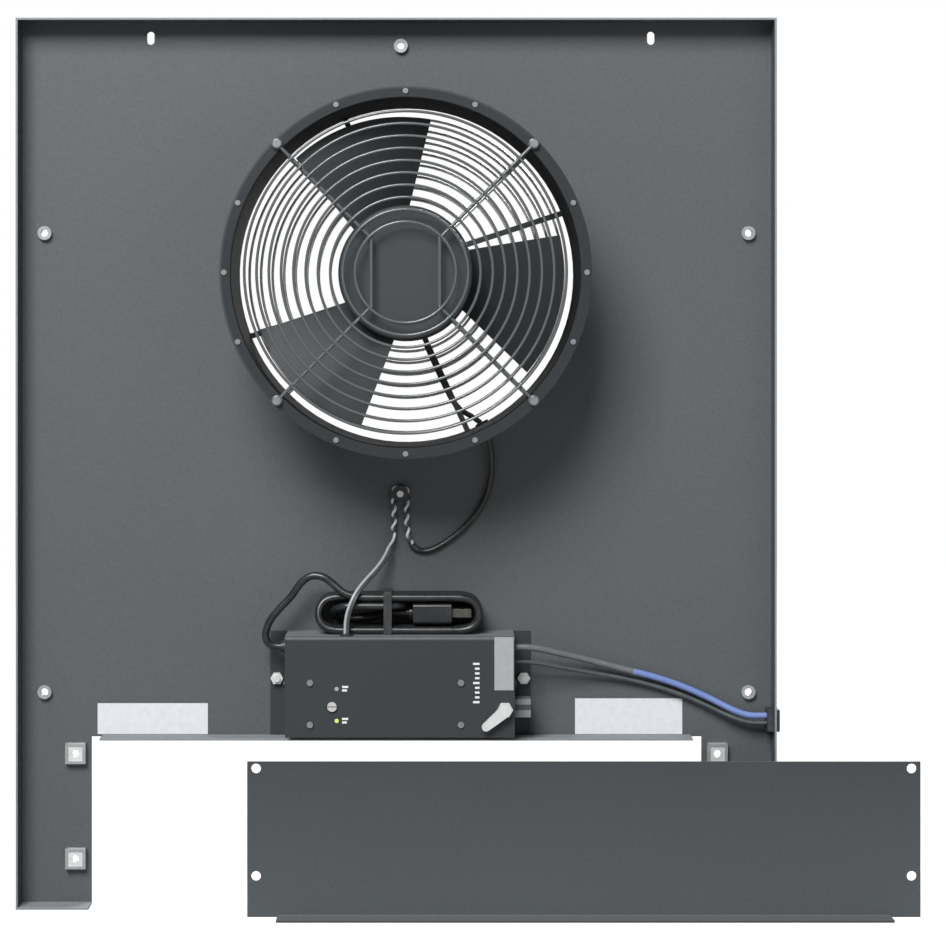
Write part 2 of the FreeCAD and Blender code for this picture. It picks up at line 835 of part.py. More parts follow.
def wire_guard(label, rings, first, pitch, start, rib_y, ring_y, bends=()):
    """Welded rings on four ribs, each rib ending in an eye for its screw."""
    parts = []
    for lower, upper in bends:
        parts += guard_bend(lower, upper, rib_y)
    for k in range(rings):
        parts.append(ring("GuardRing", ("fan_x", ring_y, "fan_z"), f"{first} + {k} * {pitch}",
                          "guard_wire_radius"))
    for angle in guard_lug_angles():
        x, z = polar(start, angle)
        rib = rod("GuardRib", "+Z", (x, rib_y, z), "guard_rib_radius", f"guard_rib_end - {start}")
        turned = math.radians(value("guard_lug_angle") * int(angle.split()[-1]))
        rib.Placement.Rotation = Rotation(Vector(0, 0, 1), Vector(math.cos(turned), 0, math.sin(turned)))
        parts.append(rib)
        x, z = polar("bolt_circle_radius", angle)
        parts.append(ring("GuardEye", (x, rib_y, z), "guard_eye_radius", "guard_rib_radius"))
    node(label, fuse(label.title().replace("_", ""), *parts))


def guards():
    """Ten wire rings on each side of the fan; the front ribs are two bent wires."""
    wire_guard("front_guard", 10, "guard_first_ring", "guard_ring_pitch", "guard_rib_start",
               "front_rib_y", "front_ring_y", ((5, 3), (7, 1)))
    wire_guard("outer_guard", 10, "outer_first_ring", "outer_ring_pitch", "outer_rib_start",
               "guard_rib_radius", "outer_ring_y")


def fan_fasteners():
    """Eight screws hold the fan to the panel and four hold the front guard to the fan."""
    front_screws = []
    rear_screws = []
    nuts = []
    for index, angle in enumerate(fan_mount_angles()):
        x, z = polar("bolt_circle_radius", angle)
        top = "2 * guard_rib_radius" if index % 2 else "0"
        reach = f"{top} - rear_flange_front + fan_nut_thick + 1"
        shank = rod("MountShank", "-Y", (x, top, z), "fan_screw_radius", reach)
        head = rod("MountHead", "+Y", (x, top, z), "fan_head_radius", "fan_head_thick")
        rear_screws.append(fuse("MountScrew", shank, head))
        nuts.append(fan_nut(x, "rear_flange_front", z, "-Y"))
    for angle in guard_lug_angles():
        x, z = polar("bolt_circle_radius", angle)
        reach = "front_flange_back - front_seat + fan_nut_thick + 1"
        shank = rod("GuardShank", "+Y", (x, "front_seat", z), "fan_screw_radius", reach)
        head = rod("GuardHead", "-Y", (x, "front_seat", z), "fan_head_radius", "fan_head_thick")
        front_screws.append(fuse("GuardScrew", shank, head))
        nuts.append(fan_nut(x, "front_flange_back", z, "+Y"))
    node("fan_mount_screws", group("FanMountScrews", *rear_screws))
    node("guard_screws", group("GuardScrews", *front_screws))
    node("fan_nuts", group("FanNuts", *nuts))


def fan_nut(x, y, z, way):
    """A hexagon nut with its bore clear of the screw, a flat towards the housing wall."""
    body = hexagon("FanNutBlank", way, (x, y, z), "fan_nut_flats", "fan_nut_thick")
    bore = rod("FanNutBore", way, (x, y, z), "fan_screw_radius + press_gap", "fan_nut_thick")
    return cut("FanNut", body, bore)


# ---------------------------------------------------------------- motor and rotor

def motor_spider():
    """A centre plate and four slim struts welded to the throat's wall."""
    rear = value("spider_rear")
    plate = Part.makeCylinder(value("spider_plate_radius"), value("spider_plate_thick"),
                              Vector(0, rear, 0), Vector(0, -1, 0))
    start = value("spider_plate_radius") - value("strut_width")
    reach = value("throat_radius") + value("housing_wall")
    half = value("strut_width") / 2
    for k in range(4):
        outer = math.radians(value("strut_angle") + 90 * k)
        lean = value("strut_lean") * (1 if k % 2 == 0 else -1)
        inner = outer + math.radians(lean)
        a = Vector(start * math.cos(inner), rear, start * math.sin(inner))
        b = Vector(reach * math.cos(outer), rear, reach * math.sin(outer))
        side = (b - a).cross(Vector(0, 1, 0)).normalize() * half
        face = Part.Face(Part.makePolygon([a + side, b + side, b - side, a - side, a + side]))
        plate = plate.fuse(face.extrude(Vector(0, -value("strut_thick"), 0)))
    trim = Part.makeCylinder(value("throat_radius"), 2 * value("fan_depth"),
                             Vector(0, value("fan_depth"), 0), Vector(0, -1, 0))
    shape = plate.common(trim)
    tower_room = Part.makeCylinder(value("motor_base_radius") + value("fit_gap"),
                                   value("strut_thick"),
                                   Vector(0, value("spider_plate_front"), 0), Vector(0, -1, 0))
    shape = shape.cut(tower_room)
    for k in range(4):
        turn = math.radians(45 + 90 * k)
        at = Vector(math.cos(turn), 0, math.sin(turn)) * value("motor_screw_circle")
        at.y = rear
        shape = shape.cut(Part.makeCylinder(value("motor_screw_radius") + value("fit_gap"),
                                            value("spider_plate_thick"), at, Vector(0, -1, 0)))
    piece = feature("MotorSpider", shape.removeSplitter())
    put(piece, "fan_x", "0", "fan_z")
    node("motor_spider", piece)

    screws = []
    for k in range(4):
        x, z = polar("motor_screw_circle", f"45 + 90 * {k}")
        head = rod("MotorScrewHead", "+Y", (x, "spider_rear", z), "1.9 * motor_screw_radius",
                   "1.2 * motor_screw_radius")
        shank = rod("MotorScrewShank", "-Y", (x, "spider_rear", z), "motor_screw_radius",
                    "spider_plate_thick + motor_base_thick - 1")
        screws.append(fuse("MotorScrew", head, shank))
    node("motor_screws", group("MotorScrews", *screws))


def bearings():
    """The depths of the two ball bearings' rear faces."""
    return ("-bearing_rear_depth", "-bearing_front_depth")


def motor():
    """The fixed half: base and bearing tube, stator and windings, outer races and balls."""
    base = rod("MotorBasePlate", "-Y", ("fan_x", "spider_plate_front", "fan_z"), "motor_base_radius",
               "motor_base_thick")
    tube = rod("BearingTube", "-Y", ("fan_x", "spider_plate_front", "fan_z"), "bearing_tube_radius",
               "motor_base_thick + bearing_tube_length")
    bore = rod("BearingBore", "-Y", ("fan_x", "spider_plate_front - 2", "fan_z"),
               "bearing_radius + press_gap", "motor_base_thick + bearing_tube_length")
    taps = []
    for k in range(4):
        x, z = polar("motor_screw_circle", f"45 + 90 * {k}")
        taps.append(rod("MotorTap", "-Y", (x, "spider_plate_front", z),
                        "motor_screw_radius + press_gap", "motor_base_thick - 0.8"))
    node("motor_base", cut("MotorBase", fuse("MotorBaseBlank", base, tube), bore, *taps))

    core = rod("StatorBlank", "-Y", ("fan_x", "stator_rear", "fan_z"), "stator_radius", "stator_stack")
    core_bore = rod("StatorBore", "-Y", ("fan_x", "stator_rear", "fan_z"),
                    "bearing_tube_radius + press_gap", "stator_stack")
    slots = []
    for k in range(12):
        x, z = polar("stator_radius - 1", f"30 * {k}")
        slots.append(rod("StatorSlot", "-Y", (x, "stator_rear", z), "1.4", "stator_stack"))
    node("stator_core", drilled("StatorCore", core, [core_bore] + slots))

    ends = []
    for y in ("stator_rear + winding_height", "stator_front"):
        outer = rod("WindingBlank", "-Y", ("fan_x", y, "fan_z"), "winding_radius", "winding_height")
        inner = rod("WindingBore", "-Y", ("fan_x", y, "fan_z"), "winding_bore_radius", "winding_height")
        ends.append(cut("WindingEnd", outer, inner))
    node("stator_windings", group("StatorWindings", *ends))

    outer_races = []
    inner_races = []
    balls = []
    for y in bearings():
        centre = ("fan_x", f"{y} - bearing_width / 2", "fan_z")
        start = ("fan_x", y, "fan_z")
        groove = ring("OuterGroove", centre, "ball_circle_radius", "ball_radius + ball_gap")
        blank = rod("OuterRaceBlank", "-Y", start, "bearing_radius", "bearing_width")
        room = rod("OuterRaceBore", "-Y", start, "ball_circle_radius + race_gap", "bearing_width")
        outer_races.append(cut("OuterRace", blank, room, groove))
        groove = ring("InnerGroove", centre, "ball_circle_radius", "ball_radius + ball_gap")
        blank = rod("InnerRaceBlank", "-Y", start, "ball_circle_radius - race_gap", "bearing_width")
        room = rod("InnerRaceBore", "-Y", start, "shaft_radius + press_gap", "bearing_width")
        inner_races.append(cut("InnerRace", blank, room, groove))
        for k in range(7):
            x, z = polar("ball_circle_radius", f"360 / 7 * {k}")
            ball = doc.addObject("Part::Sphere", "Ball")
            bind(ball, Radius="ball_radius")
            balls.append(put(ball, x, centre[1], z))
    node("bearing_outer_races", group("BearingOuterRaces", *outer_races))
    node("bearing_inner_races", group("BearingInnerRaces", *inner_races))
    node("bearing_balls", group("BearingBalls", *balls))


def rotor():
    """The turning half: shaft, cup with its cage, cap and three sheet blades."""
    shaft = rod("ShaftRod", "-Y", ("fan_x", "-bearing_rear_depth + 1.5", "fan_z"), "shaft_radius",
                "cup_front_depth - bearing_rear_depth + 1.5")
    ends = doc.addObject("Part::Chamfer", "MotorShaft")
    ends.Base = shaft
    doc.recompute()
    rims = [i for i, edge in enumerate(shaft.Shape.Edges, 1) if isinstance(edge.Curve, Part.Circle)]
    ends.Edges = [(i, 0.5, 0.5) for i in rims]
    node("motor_shaft", ends)

    start = ("fan_x", "stator_rear + 1", "fan_z")
    outer = rod("CageBlank", "-Y", start, "cup_inner_radius - press_gap", "stator_stack + 2")
    inner = rod("CageBore", "-Y", start, "cage_radius", "stator_stack + 2")
    node("rotor_cage", cut("RotorCage", outer, inner))

    start = ("fan_x", "-cup_rear_depth", "fan_z")
    depth = "cup_front_depth - cup_rear_depth"
    outer = rod("CupBlank", "-Y", start, "cup_radius", depth)
    inner = rod("CupRoom", "-Y", start, "cup_inner_radius", f"{depth} - cup_wall")
    shell = cut("CupShell", outer, inner)
    boss_start = ("fan_x", "cup_front + cup_wall + cup_boss_length", "fan_z")
    boss = rod("CupBoss", "-Y", boss_start, "cup_boss_radius", "cup_boss_length + cup_wall / 2")
    bore = rod("CupBore", "-Y", boss_start, "shaft_radius + press_gap", "cup_boss_length + cup_wall")
    body = cut("CupBody", fuse("CupWithBoss", shell, boss), bore)
    rounded = doc.addObject("Part::Fillet", "RotorCup")
    rounded.Base = body
    doc.recompute()
    front = value("cup_front")
    rim = value("cup_radius")
    chosen = [i for i, edge in enumerate(body.Shape.Edges, 1)
              if isinstance(edge.Curve, Part.Circle) and abs(edge.Curve.Radius - rim) < 0.01
              and abs(edge.BoundBox.YMin - front) < 0.01]
    rounded.Edges = [(i, value("cup_wall") * 0.8, value("cup_wall") * 0.8) for i in chosen]
    node("rotor_cup", rounded)

    cap = rod("HubCapBlank", "-Y", ("fan_x", "cup_front", "fan_z"), "hub_cap_radius", "hub_cap_thick")
    eased = doc.addObject("Part::Chamfer", "HubCap")
    eased.Base = cap
    doc.recompute()
    tip = value("cup_front") - value("hub_cap_thick")
    chosen = [i for i, edge in enumerate(cap.Shape.Edges, 1)
              if isinstance(edge.Curve, Part.Circle) and abs(edge.BoundBox.YMin - tip) < 0.01]
    eased.Edges = [(i, value("hub_cap_thick") / 2, value("hub_cap_thick") / 2) for i in chosen]
    node("hub_cap", eased)

    blades = group("FanBlades", *[feature("Blade", blade_shape(k)) for k in range(3)])
    put(blades, "fan_x", "0", "fan_z")
    node("fan_blades", blades)


def blade_shape(index):
    """One blade: a pitched, cambered sheet from the cup's wall to the tip radius."""
    root = value("cup_radius") + value("press_gap")
    curves = []
    for radius, skew in ((root, value("blade_skew_angle")), (value("blade_tip_radius"), 0)):
        points = []
        for step in range(9):
            across = step / 8 - 0.5
            angle = value("blade_angle") + 120 * index + skew + value("blade_width_angle") * across
            depth = (value("blade_mid_depth") + value("blade_pitch_depth") * across
                     + value("blade_camber") * (1 - 4 * across * across))
            turn = math.radians(angle)
            points.append(Vector(radius * math.cos(turn), -depth, radius * math.sin(turn)))
        curve = Part.BSplineCurve()
        curve.interpolate(points)
        curves.append(curve.toShape())
    sheet = Part.makeRuledSurface(*curves)
    return sheet.extrude(Vector(0, -value("blade_thick"), 0))


# ---------------------------------------------------------------- controller

def controller_base():
    """An open box on a back plate whose ears are held by two studs."""
    wall_y = ("lid_back", "base_front")
    half_ear = "box_width / 2 + ear_length"
    plate = box("BasePlate", (f"box_x - ({half_ear})", f"box_x + ({half_ear})"),
                ("base_front", "inner_face"), ("ear_bottom", "box_top"))
    outer = box("BaseOuter", ("box_left", "box_right"), wall_y, ("box_bottom", "box_top"))
    inner = box("BaseInner", ("box_left + box_wall", "box_right - box_wall"), wall_y,
                ("box_bottom + box_wall", "box_top - box_wall"))
    walls = cut("BaseWalls", outer, inner)
    holes = []
    for x in ("ear_left", "ear_right"):
        holes.append(rod("EarHole", "-Y", (x, "inner_face", "ear_z"), "ear_stud_radius + fit_gap",
                         "box_wall"))
    holes.append(rod("GlandHole", "+X", ("box_left", "gland_y", "gland_z"),
                     "gland_radius - bushing_wall + press_gap", "box_wall"))
    holes.append(rod("LeadEntry", "+Z", ("lead_entry_x", "lead_entry_y", "box_top - box_wall"),
                     "lead_radius + bushing_wall + press_gap", "box_wall"))
    holes.append(rod("CableExit", "+X", ("box_right - box_wall", "gland_y", "cable_exit_z"),
                     "cable_radius + bushing_wall + press_gap", "box_wall"))
    holes.append(rod("WireExit", "+X", ("box_right - box_wall", "gland_y", "wire_exit_z"),
                     "wire_radius + bushing_wall / 2 + press_gap", "box_wall"))
    screw_y = "lid_back + lid_screw_setback"
    holes.append(rod("LidHoleLeft", "+X", ("box_left", screw_y, "ear_z"),
                     "lid_screw_radius + fit_gap", "box_wall"))
    holes.append(rod("LidHoleRight", "+X", ("box_right - box_wall", screw_y, "ear_z"),
                     "lid_screw_radius + fit_gap", "box_wall"))
    node("controller_base", drilled("ControllerBase", fuse("BaseBlank", plate, walls), holes))

    studs = []
    nuts = []
    for x in ("ear_left", "ear_right"):
        studs.append(rod("EarStud", "-Y", (x, "0", "ear_z"), "ear_stud_radius", "ear_stud_length"))
        body = hexagon("EarNutBlank", "-Y", (x, "base_front", "ear_z"), "ear_nut_flats", "ear_nut_thick")
        bore = rod("EarNutBore", "-Y", (x, "base_front", "ear_z"), "ear_stud_radius + press_gap",
                   "ear_nut_thick")
        nuts.append(cut("EarNut", body, bore))
    node("ear_studs", group("EarStuds", *studs))
    node("ear_nuts", group("EarNuts", *nuts))


def controller_lid():
    """The front plate with a lip inside each end wall, held by one screw a side."""
    plate = box("LidPlate", ("box_left", "box_right"), ("lid_front", "lid_back"), ("box_bottom", "box_top"))
    lips = []
    reach = ("lid_back", "lid_back + lid_lip_depth")
    height = ("box_bottom + box_wall + fit_gap", "box_top - box_wall - fit_gap")
    gap = "box_wall + fit_gap"
    holes = []
    for low, high in ((f"box_left + {gap}", f"box_left + {gap} + box_wall"),
                      (f"box_right - {gap} - box_wall", f"box_right - ({gap})")):
        lips.append(box("LidLip", (low, high), reach, height))
        holes.append(rod("LidTap", "+X", (low, "lid_back + lid_screw_setback", "ear_z"),
                         "lid_screw_radius + press_gap", "box_wall"))
    for x, z in board_screw_points():
        holes.append(rod("LidBoardHole", "-Y", (x, "lid_back", z), "board_screw_hole", "box_wall"))
    for z in ("led_upper", "led_lower"):
        holes.append(rod("LidLedHole", "-Y", ("led_x", "lid_back", z), "led_radius + fit_gap", "box_wall"))
    holes.append(rod("LidKnobHole", "-Y", ("trimmer_x", "lid_back", "trimmer_z"),
                     "trimmer_knob_radius + 2 * fit_gap", "box_wall"))
    holes.append(rod("LidSelectorHole", "-Y", ("selector_x", "lid_back", "selector_z"),
                     "bushing_radius + press_gap", "box_wall"))
    node("controller_lid", drilled("ControllerLid", fuse("LidBlank", plate, *lips), holes))

    screws = []
    for start, way in (("box_left", "+X"), ("box_right", "-X")):
        at = (start, "lid_back + lid_screw_setback", "ear_z")
        away = "-X" if way == "+X" else "+X"
        shank = rod("LidScrewShank", way, at, "lid_screw_radius", "4 * box_wall")
        head = rod("LidScrewHead", away, at, "1.8 * lid_screw_radius", "lid_screw_radius")
        screws.append(fuse("LidScrew", shank, head))
    node("lid_screws", group("LidScrews", *screws))


def board_screw_points():
    """The four screws through lid, spacer and board."""
    return [(f"board_x {way} board_screw_spacing / 2",
             f"board_z - board_screw_drop {up} board_screw_rise / 2")
            for way in "-+" for up in "-+"]


def circuit_board():
    """The board behind the lid with its screws and spacers."""
    plate = box("BoardPlate", middle("board_x", "board_width"), ("board_front", "board_back"),
                middle("board_z", "board_height"))
    holes = []
    screws = []
    spacers = []
    for x, z in board_screw_points():
        holes.append(rod("BoardHole", "-Y", (x, "board_back", z), "board_screw_hole", "board_thick"))
        head = rod("BoardScrewHead", "-Y", (x, "lid_front", z), "1.8 * board_screw_radius",
                   "1.2 * board_screw_radius")
        shank = rod("BoardScrewShank", "+Y", (x, "lid_front", z), "board_screw_radius",
                    "box_wall + board_gap + board_thick + 1")
        screws.append(fuse("BoardScrew", head, shank))
        tube = rod("SpacerBlank", "-Y", (x, "board_front", z), "spacer_radius", "board_gap")
        bore = rod("SpacerBore", "-Y", (x, "board_front", z), "board_screw_radius + press_gap",
                   "board_gap")
        spacers.append(cut("Spacer", tube, bore))
    node("circuit_board", drilled("CircuitBoard", plate, holes))
    node("board_screws", group("BoardScrews", *screws))
    node("board_spacers", group("BoardSpacers", *spacers))

    lenses = []
    for z in ("led_upper", "led_lower"):
        reach = "board_front - lid_front + led_rise_out"
        lens = rod("LedBody", "-Y", ("led_x", "board_front", z), "led_radius", reach)
        foot = rod("LedFoot", "-Y", ("led_x", "board_front", z), "led_radius + 0.5", "1.2")
        lenses.append(fuse("Led", lens, foot))
    node("led_lenses", group("LedLenses", *lenses))


def trimmer():
    """A set-point trimmer on the board; its slotted knob comes through the lid."""
    body = box("TrimmerBlock", middle("trimmer_x", "trimmer_size"), ("knob_seat", "board_front"),
               middle("trimmer_z", "trimmer_size"))
    well = rod("TrimmerWell", "-Y", ("trimmer_x", "knob_seat + 2", "trimmer_z"),
               "spindle_radius + spindle_gap", "2")
    node("trimmer_body", cut("TrimmerBody", body, well))
    reach = "knob_seat - lid_front + trimmer_knob_rise - fit_gap"
    knob = rod("KnobBlank", "-Y", ("trimmer_x", "knob_seat - fit_gap", "trimmer_z"),
               "trimmer_knob_radius", reach)
    stem = rod("KnobStem", "-Y", ("trimmer_x", "knob_seat + 1.8", "trimmer_z"), "spindle_radius",
               "1.8 + 2 * fit_gap")
    tip = "lid_front - trimmer_knob_rise"
    slot = box("KnobSlot", middle("trimmer_x", "2.2 * trimmer_knob_radius"), (tip, f"{tip} + 1"),
               middle("trimmer_z", "1"))
    node("trimmer_knob", cut("TrimmerKnob", fuse("KnobBody", knob, stem), slot))


def selector():
    """A rotary speed selector: body behind the lid, nut in front, lever on its spindle."""
    start = ("selector_x", "lid_back", "selector_z")
    body = box("SelectorBlock", middle("selector_x", "selector_size"),
               ("lid_back", "lid_back + selector_body_depth"), middle("selector_z", "selector_size"))
    bushing = rod("SelectorBushing", "-Y", start, "bushing_radius", "box_wall + bushing_rise")
    bore_start = ("selector_x", "lid_back + selector_body_depth / 2", "selector_z")
    bore = rod("SelectorBore", "-Y", bore_start, "spindle_radius + spindle_gap",
               "selector_body_depth / 2 + box_wall + bushing_rise")
    node("selector_switch", cut("SelectorSwitch", fuse("SelectorBlank", body, bushing), bore))

    nut_start = ("selector_x", "lid_front", "selector_z")
    nut = hexagon("SelectorNutBlank", "-Y", nut_start, "selector_nut_flats", "selector_nut_thick")
    nut_bore = rod("SelectorNutBore", "-Y", nut_start, "bushing_radius + press_gap",
                   "selector_nut_thick")
    node("selector_nut", cut("SelectorNut", nut, nut_bore))

    tip_x = "selector_x + lever_length * cos(lever_angle)"
    tip_z = "selector_z + lever_length * sin(lever_angle)"
    hub = rod("LeverHub", "-Y", ("selector_x", "lever_back", "selector_z"), "lever_hub_radius",
              "lever_thick")
    end = rod("LeverTip", "-Y", (tip_x, "lever_back", tip_z), "lever_tip_radius", "lever_thick")
    arm = feature("LeverArm", lever_arm())
    put(arm, "selector_x", "lever_back", "selector_z")
    spindle = rod("LeverSpindle", "+Y", ("selector_x", "lever_back - lever_thick / 2", "selector_z"),
                  "spindle_radius", "lever_thick / 2 + bushing_rise + box_wall + selector_body_depth / 3")
    node("selector_lever", fuse("SelectorLever", hub, end, arm, spindle))


def lever_arm():
    """The lever's tapered arm between the common tangents of its hub and its tip."""
    length = value("lever_length")
    hub = value("lever_hub_radius")
    tip = value("lever_tip_radius")
    turn = math.radians(value("lever_angle"))
    along = Vector(math.cos(turn), 0, math.sin(turn))
    lean = math.acos((hub - tip) / length)
    corners = []
    for side in (1, -1):
        foot = Vector(math.cos(turn + side * lean), 0, math.sin(turn + side * lean))
        pair = [foot * hub, foot * tip + along * length]
        corners += pair if side == 1 else pair[::-1]
    face = Part.Face(Part.makePolygon(corners + corners[:1]))
    return face.extrude(Vector(0, -value("lever_thick"), 0))


def controller_inside():
    """The transformer, relay, capacitors and terminal block."""
    core = box("CoreBlank", middle("core_x", "core_width"), ("core_rear - core_thick", "core_rear"),
               middle("core_z", "core_height"))
    windows = []
    for way in "-+":
        far = f"core_x {way} window_half"
        near = f"core_x {way} limb_half"
        low, high = (far, near) if way == "-" else (near, far)
        windows.append(box("CoreWindow", (low, high), ("core_rear - core_thick", "core_rear"),
                           ("core_z - window_height", "core_z + window_height")))
    node("transformer_core", drilled("TransformerCore", core, windows))

    coil = box("CoilBlank", ("core_x - window_half + part_gap", "core_x + window_half - part_gap"),
               ("coil_front", "base_front"),
               ("core_z - window_height + part_gap", "core_z + window_height - part_gap"))
    limb = box("CoilBore", ("core_x - limb_half - part_gap", "core_x + limb_half + part_gap"),
               ("core_rear - core_thick - part_gap", "core_rear + part_gap"),
               ("core_z - core_height", "core_z + core_height"))
    node("transformer_coil", cut("TransformerCoil", coil, limb))

    node("relay", box("Relay", middle("relay_x", "relay_size"), ("board_back", "board_back + relay_size"),
                      middle("relay_z", "relay_size")))
    cans = []
    for k in range(2):
        start = (f"capacitor_x + {k} * capacitor_pitch", "board_back", "capacitor_z")
        cans.append(rod("Capacitor", "+Y", start, "capacitor_radius", "capacitor_length"))
    node("capacitors", group("Capacitors", *cans))

    z = "box_top - terminal_drop"
    block = box("TerminalBlank", middle("terminal_x", "terminal_width"),
                ("base_front - terminal_thick", "base_front"), middle(z, "terminal_height"))
    wells = []
    for k in range(5):
        start = (f"terminal_x + terminal_width * ({k} - 2) / 5", "base_front - terminal_thick", z)
        wells.append(rod("TerminalWell", "+Y", start, "terminal_well_radius", "terminal_thick / 2"))
    node("terminal_block", drilled("TerminalBlock", block, wells))


def side_socket():
    """A grey plug-in socket on the controller's right wall, open to the right."""
    z = "box_top - socket_drop - socket_height / 2"
    y = ("gland_y - socket_depth / 2", "gland_y + socket_depth / 2")
    body = box("SocketBlank", ("box_right", "box_right + socket_width"), y, middle(z, "socket_height"))
    room = box("SocketRoom", ("box_right + 3", "box_right + socket_width"),
               ("gland_y - socket_depth / 2 + 2", "gland_y + socket_depth / 2 - 2"),
               middle(z, "socket_height - 5"))
    node("side_socket", cut("SideSocket", body, room))


# ---------------------------------------------------------------- cords

def straight_and_arcs(points, report):
    """The wire through a route's points: straight runs joined by the largest tangent arcs."""
    edges = []
    radii = []
    start = points[0]
    for before, corner, after in zip(points, points[1:], points[2:]):
        back = before - corner
        ahead = after - corner
        half_turn = (math.pi - back.getAngle(ahead)) / 2
        reach = 0.45 * min(back.Length, ahead.Length)
        radius = reach / math.tan(half_turn)
        back.normalize()
        ahead.normalize()
        inward = (back + ahead).normalize()
        entry = corner + back * reach
        leave = corner + ahead * reach
        middle_point = corner + inward * (radius / math.cos(half_turn) - radius)
        edges.append(Part.LineSegment(start, entry).toShape())
        edges.append(Part.Arc(entry, middle_point, leave).toShape())
        radii.append(radius)
        start = leave
    edges.append(Part.LineSegment(start, points[-1]).toShape())
    print(report, "radii", [round(radius, 1) for radius in radii])
    return Part.Wire(edges)


def cord(label, points, radius_name):
    """A round cord swept along its route, its volume compared with section times length."""
    radius = value(radius_name)
    path = straight_and_arcs(points, label)
    first = path.Edges[0]
    profile = Part.Wire([Part.makeCircle(radius, first.Vertexes[0].Point, first.tangentAt(first.FirstParameter))])
    tube = path.makePipeShell([profile], True, False)
    ideal = math.pi * radius * radius * path.Length
    print(label, "length", round(path.Length, 1), "volume ratio", round(tube.Volume / ideal, 5))
    node(label, feature(label.title().replace("_", ""), tube))


def on_radius(radius, y, angle):
    """A point at a radius and an angle about the fan's axis."""
    turn = math.radians(angle)
    return Vector(value("fan_x") + radius * math.cos(turn), y, value("fan_z") + radius * math.sin(turn))


def fan_lead():
    """The fan's lead: along a strut, out of the housing, over the post and into the controller."""
    angle = value("lead_exit_angle")
    y = value("lead_exit_y")
    flat = value("lead_y")
    post_x = value("post_x")
    post_z = value("post_z")
    side = value("post_radius") + value("lead_radius") + value("fit_gap")
    entry_z = value("box_top") + value("bushing_flange") + value("press_gap")
    end_x = value("lead_entry_x")
    end_y = value("lead_entry_y")
    points = [
        on_radius(value("spider_plate_radius") + 2, y - 1.2, angle - 1.2), on_radius(86, y, angle),
        on_radius(value("throat_radius") + 10, y, angle),
        Vector(69, y + 0.6, 5.5), Vector(69, flat - 2.6, -9.5), Vector(65.6, flat - 1, -24),
        Vector(58.5, flat - 0.6, -36.8), Vector(48.5, flat - 0.3, -48), Vector(36.8, flat, -57.4),
        Vector(23.5, flat, -64.8), Vector(13.2, flat, -63.2), Vector(8.2, flat, -53.5),
        Vector(7.2, flat, -38), Vector(post_x + side, flat, post_z - 3),
        Vector(post_x + side, flat, post_z + side), Vector(post_x - side, flat, post_z + side),
        Vector(post_x - side, flat, post_z - 5), Vector(-1.4, flat - 0.2, -40),
        Vector(-3, flat - 2, -54), Vector(-7.5, flat - 7, -66.5), Vector(-14, flat - 14.5, -76),
        Vector(-21.5, -28.5, -83.5), Vector(-28.5, -37, -92), Vector(end_x + 2, end_y - 1.2, -103),
        Vector(end_x, end_y, -112.5), Vector(end_x, end_y, entry_z),
    ]
    cord("fan_lead", points, "lead_radius")

    centre = ("post_x", "inner_face", "post_z")
    stem = rod("PostStem", "-Y", centre, "post_radius", "inner_face - post_cap_back")
    cap = rod("PostCap", "-Y", ("post_x", "post_cap_back", "post_z"), "post_cap_radius",
              "post_cap_thick")
    bore = rod("PostBore", "-Y", centre, "post_screw_radius + press_gap", "inner_face - post_cap_front")
    node("lead_post", cut("LeadPost", fuse("PostBlank", stem, cap), bore))
    top = ("post_x", "post_cap_front", "post_z")
    shank = rod("PostScrewShank", "+Y", top, "post_screw_radius", "-post_cap_front")
    head = rod("PostScrewHead", "-Y", top, "post_screw_head_radius", "1.4")
    node("lead_post_screw", fuse("LeadPostScrew", shank, head))


def bushing(name, start, way, wall, radius, bore, turn=None, seat="press_gap"):
    """A rubber bushing through a wall: a neck with a flange on each side of it."""
    parts = []
    reach = f"{wall} + 2 * bushing_flange + press_gap + {seat}"
    for shift, size, length in ((f"-bushing_flange - {seat}", f"{radius} + 1.2", "bushing_flange"),
                                (f"-bushing_flange - {seat}", radius, reach),
                                (f"{wall} + press_gap", f"{radius} + 1.2", "bushing_flange")):
        piece = doc.addObject("Part::Cylinder", name + "Part")
        bind(piece, Radius=size, Height=length)
        piece.setExpression("Placement.Base.z", cells(shift))
        parts.append(piece)
    body = fuse(name + "Blank", *parts)
    if bore:
        hole = doc.addObject("Part::Cylinder", name + "Bore")
        bind(hole, Radius=bore, Height=f"{wall} + 6 * bushing_flange")
        hole.setExpression("Placement.Base.z", cells("-3 * bushing_flange"))
        body = cut(name, body, hole)
    return put(body, *start, turn or TURNS[way])


def cord_bushings():
    """The bushings of the fan's lead and of the two sensor cords."""
    x, z = polar("throat_radius", "lead_exit_angle")
    through = bushing("HousingBushing", (x, "lead_exit_y", z), "+X", "housing_wall",
                      "lead_radius + fit_gap + bushing_wall", "lead_radius + fit_gap", lead_exit_turn(),
                      "fit_gap")
    entry_start = ("lead_entry_x", "lead_entry_y", "box_top - box_wall")
    entry = bushing("EntryBushing", entry_start, "+Z", "box_wall", "lead_radius + bushing_wall", None)
    cable = bushing("CableBushing", ("box_right - box_wall", "gland_y", "cable_exit_z"), "+X",
                    "box_wall", "cable_radius + bushing_wall", None)
    wire = bushing("WireBushing", ("box_right - box_wall", "gland_y", "wire_exit_z"), "+X",
                   "box_wall", "wire_radius + bushing_wall / 2", None)
    node("cord_bushings", group("CordBushings", through, entry, cable, wire))


